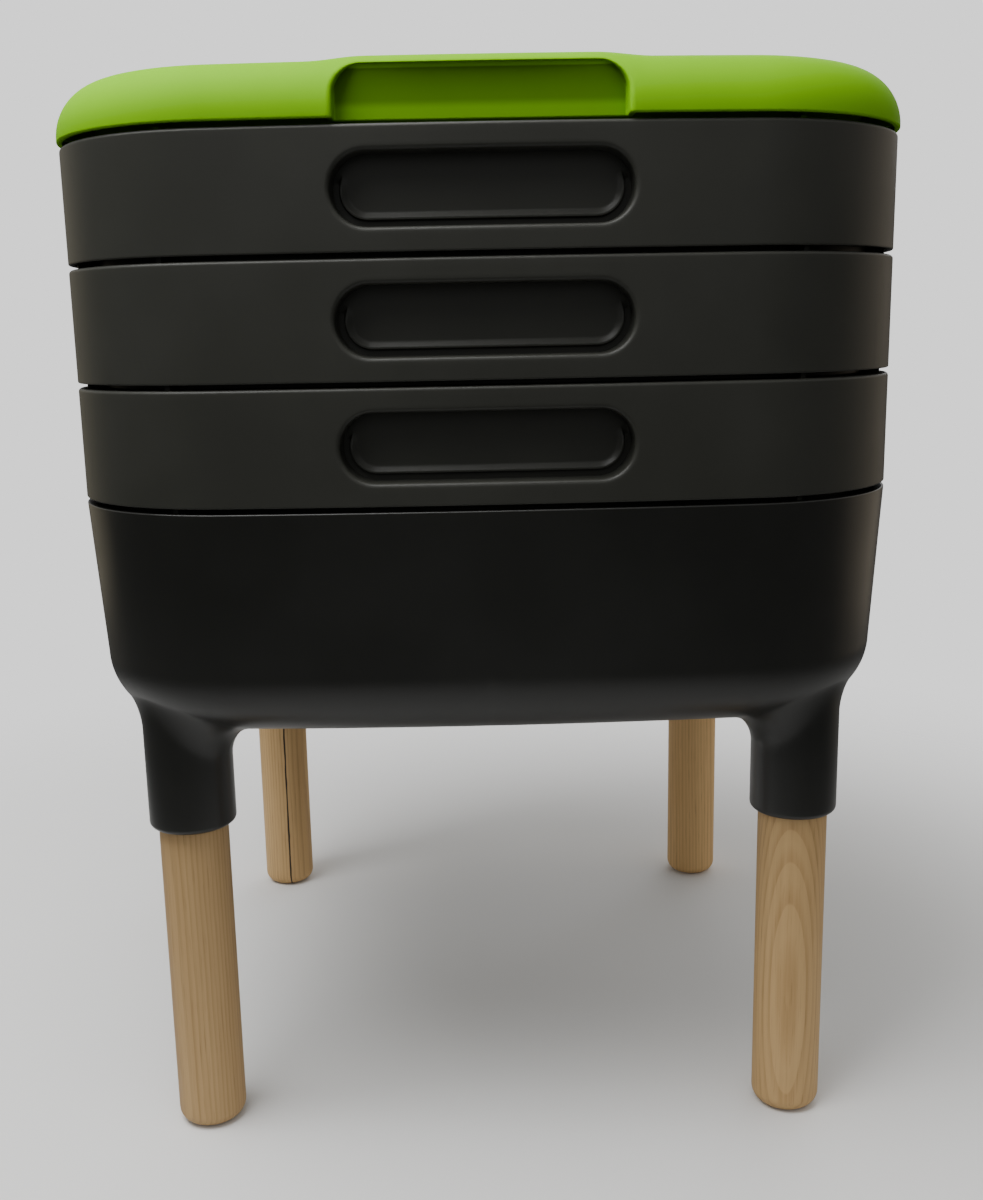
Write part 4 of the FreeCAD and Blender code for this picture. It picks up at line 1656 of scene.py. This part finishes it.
    def _bosses(self) -> bpy.types.Object:
        """Round bosses for the tap on both sides of the rear wall, each with its end inside the wall.

        Returns:
            The bosses as one object.
        """
        shell = Shell()
        angles = np.linspace(0.0, 2 * math.pi, self.boss_sides + 1)[:-1]
        for radius, face, side in self.tap_bosses:
            rows = []
            for reach in (0.0, 0.5 * radius, radius):
                z = self.tap_height + reach * np.sin(angles)
                rows.append(np.stack([reach * np.cos(angles), self._wall_reach(z) - self.wall / 2, z], -1))
            for reach, depth in ((radius, 1.0), (radius - 0.3, 0.3), (radius - 1.0, 0.0), (0.0, 0.0)):
                z = self.tap_height + reach * np.sin(angles)
                y = np.full(self.boss_sides, face - side * depth)
                rows.append(np.stack([reach * np.cos(angles), y, z], -1))
            shell.grid(np.stack(rows), True)
        return shell.piece("tap_bosses")

    def build(self) -> None:
        """Make the collector and dress it."""
        rows = self._outside_paths()
        mouth = self._socket_mouth_rows(rows[0])
        shell = Shell()
        for sign_x, sign_y in ((1, 1), (-1, 1), (-1, -1), (1, -1)):
            flip = np.array([sign_x, sign_y, 1.0])
            loop = sign_x * sign_y < 0
            for block in (rows, mouth):
                turned = block * flip
                shell.grid(turned[:, ::-1] if loop else turned)
        self._inside(shell)
        made = shell.piece("collector_moulding")
        top, step, foot = self.rim - 0.3, self.rim - 6.0, self.rim - 60.0
        gusset = ((0.6, top), (14.0, top), (14.0, step), (6.0, foot), (4.2, foot))
        gussets = corner_plates("seat_gussets", gusset, self.gusset_thickness)
        collector = joined(made, [gussets, self._bosses()])
        collector.name = "collector_shell"
        finish_piece(collector, "collector", Finish.BOWL.material(), "collector_base")


# Legs

class Corner(Enum):
    """Each leg's node, its sides of the X and Y axes, and how its wood was cut, with its painted light."""

    # The painted light brightens the rear dowels most, where the collector shades the legs.
    FRONT_LEFT = ("front_left_leg", -1, -1,
                  Cut((60.0, 35.0), slant=(0.004, 0.0), ring_width=2.1, seed=1.7, painted_light=1.02))
    FRONT_RIGHT = ("front_right_leg", 1, -1,
                   Cut((12.7, 60.0), bow=(0.77, 62.0), ring_width=2.0, seed=5.3, painted_light=1.24))
    REAR_LEFT = ("rear_left_leg", -1, 1,
                 Cut((-62.0, 10.0), seed=9.1, painted_light=1.32, crack=DryingCrack()))
    REAR_RIGHT = ("rear_right_leg", 1, 1,
                  Cut((45.0, -20.0), slant=(0.02, 0.01), seed=12.9, painted_light=1.62))


@dataclass
class Leg:
    """Round ash dowel with a softened foot."""

    radius: float = 16.5
    length: float = 207.0
    foot_rounding: float = 7.0
    top_rounding: float = 1.0
    foot_centre: float = 4.0
    place: float = 145.5
    sides: int = 72

    def build(self, corner: Corner) -> None:
        """Make one leg and dress it.

        Args:
            corner: its place, and how its wood was cut.
        """
        node, side_x, side_y, cut = corner.value
        axis = (side_x * self.place, side_y * self.place)
        profile = eased_line([(0.0, 0.0), (self.radius, 0.0, self.foot_rounding),
                              (self.radius, self.length, self.top_rounding), (0.0, self.length)], 9)
        profile.insert(1, (self.foot_centre, 0.0))
        angles = np.linspace(0.0, 2 * math.pi, self.sides + 1)[:-1]
        rows = [np.stack([axis[0] + radius * np.cos(angles), axis[1] + radius * np.sin(angles),
                          np.full(self.sides, z)], -1) for radius, z in profile]
        shell = Shell()
        shell.grid(np.stack(rows), True)
        leg = shell.piece(node + "_dowel")
        wood = AshDowel("ash_" + node, axis, cut)
        finish_piece(leg, "collector", wood.material(), node)


# Tap

@dataclass
class DrainTap:
    """The tap's own solids, each dressed in its finish."""

    nodes: dict[str, Finish] = field(default_factory=lambda: {
        "tap_body": Finish.TAP, "tap_lever": Finish.TAP, "tap_nut": Finish.TAP,
        "plug_seal": Finish.SEAL, "outer_washer": Finish.SEAL, "inner_washer": Finish.SEAL})

    def build(self) -> None:
        """Give each solid its finish."""
        for name, finish in self.nodes.items():
            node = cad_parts[name]
            material = finish.material()
            if node.material_slots:
                for slot in node.material_slots:
                    slot.material = material
            else:
                node.data.materials.append(material)
            log.info("%s: the solid itself, in %s", name, material.name)


# Studio

@dataclass(frozen=True)
class Lamp:
    """Soft square light that looks at a point."""

    name: str
    place: Place
    target: Place
    size: float
    power: float
    colour: Colour = (1.0, 1.0, 1.0)

    def build(self) -> None:
        """Hang the light."""
        data = bpy.data.lights.new(self.name, "AREA")
        data.shape = "SQUARE"
        data.size = self.size
        data.energy = self.power
        data.color = self.colour
        lamp = bpy.data.objects.new(self.name, data)
        lamp.location = self.place
        towards = Vector(self.target) - Vector(self.place)
        lamp.rotation_euler = towards.to_track_quat("-Z", "Y").to_euler()
        bpy.context.collection.objects.link(lamp)


@dataclass
class Studio:
    """Plain pale floor, soft lights and the photograph's viewpoint."""

    lens: float = 39.26136
    place: Place = (-0.00662654, -0.74702529, 0.38846002)
    pitch: float = math.radians(11.7872)
    yaw: float = math.radians(0.7161)
    roll: float = math.radians(-1.1374)
    card: tuple[Colour, Colour] = ((0.78, 0.78, 0.77), (0.83, 0.83, 0.825))
    bounce: Colour = (0.64, 0.64, 0.63)
    floor_half: float = 6.0
    floor_fade: Band = (0.24, 0.8)
    backdrop: float = 1.3
    air_low: float = 0.09
    air_high: float = 0.55
    air_band: Band = (0.0, 0.5)
    lamps: tuple[Lamp, ...] = (
        Lamp("key", (-0.33, -0.29, 1.15), (0.0, -0.05, 0.35), 0.75, 16.5),
        Lamp("front_softbox", (-0.1, -2.4, 1.2), (0.0, 0.0, 0.4), 1.6, 2.8),
        Lamp("warm_right", (1.5, 0.55, 0.5), (0.1, 0.0, 0.3), 1.4, 2.9, (1.0, 0.84, 0.62)),
        Lamp("warm_left", (-1.3, 0.9, 0.4), (-0.1, 0.0, 0.3), 1.0, 1.1, (1.0, 0.87, 0.58)),
        Lamp("rear_fill", (0.7, 1.5, 1.2), (0.0, 0.1, 0.1), 1.2, 6.0))

    def _camera(self) -> None:
        """Camera that was fitted to the photograph."""
        cos_p, sin_p = math.cos(self.pitch), math.sin(self.pitch)
        cos_y, sin_y = math.cos(self.yaw), math.sin(self.yaw)
        forward = Vector((sin_y * cos_p, cos_y * cos_p, -sin_p))
        right = Vector((cos_y, -sin_y, 0.0))
        up = right.cross(forward)
        right, up = (right * math.cos(self.roll) + up * math.sin(self.roll),
                     up * math.cos(self.roll) - right * math.sin(self.roll))
        data = bpy.data.cameras.new("viewpoint")
        data.sensor_fit = "AUTO"
        data.sensor_width = 36.0
        data.lens = self.lens
        data.clip_start = 0.01
        camera = bpy.data.objects.new("viewpoint", data)
        columns = (right, up, -forward)
        matrix = Matrix.Identity(4)
        for column, axis in enumerate(columns):
            for row in range(3):
                matrix[row][column] = axis[row]
        matrix.translation = Vector(self.place)
        camera.matrix_world = matrix
        bpy.context.collection.objects.link(camera)
        bpy.context.scene.camera = camera

    def _floor(self) -> None:
        """Pale floor, dressed as smooth card."""
        mesh = bpy.data.meshes.new("studio_floor")
        half = self.floor_half
        mesh.from_pydata([(-half, -half, 0.0), (half, -half, 0.0), (half, half, 0.0), (-half, half, 0.0)], [],
                         [(0, 1, 2, 3)])
        floor = bpy.data.objects.new("studio_floor", mesh)
        bpy.context.collection.objects.link(floor)
        graph = ShaderGraph("studio_card")
        mottle = graph.noise(graph.place, 3.0, 2.0)
        card = graph.mix(mottle * 0.3, rgba(self.card[0]), rgba(self.card[1]))
        seen = graph.add("ShaderNodeLightPath", {}, {}, "Is Camera Ray")
        colour = graph.mix(seen, rgba(self.bounce), card)
        away = (graph.place.part(0) ** 2.0 + graph.place.part(1) ** 2.0) ** 0.5
        fade = 1.0 - away.eased(*self.floor_fade)
        sockets = {"Base Color": colour, "Roughness": 0.85, "Alpha": fade}
        floor.data.materials.append(graph.finish(sockets, mottle, 0.02, MM))

    def _air(self) -> None:
        """Pale backdrop for the eye, and a dimmer soft light that comes mostly from above."""
        world = bpy.data.worlds.new("studio_air")
        world.use_nodes = True
        air = Graph(world.node_tree)
        seen = air.add("ShaderNodeLightPath", {}, {}, "Is Camera Ray")
        height = air.add("ShaderNodeTexCoord", {}, {}, "Generated").part(2)
        light = height.eased(*self.air_band) * (self.air_high - self.air_low) + self.air_low
        strength = light + seen * (self.backdrop - light)
        glow = air.add("ShaderNodeBackground", {}, {"Color": (1.0, 1.0, 1.0, 1.0), "Strength": strength})
        air.node("ShaderNodeOutputWorld", {}, {"Surface": glow})
        bpy.context.scene.world = world

    def build(self) -> None:
        """Make the whole studio."""
        self._floor()
        self._camera()
        self._air()
        for lamp in self.lamps:
            lamp.build()


def main() -> None:
    """Build every piece in order."""
    logging.basicConfig(level=logging.INFO, format="%(message)s")
    Lid().build()
    Tray().build()
    Collector().build()
    for corner in Corner:
        Leg().build(corner)
    DrainTap().build()
    Studio().build()


if __name__ == "__main__":
    main()
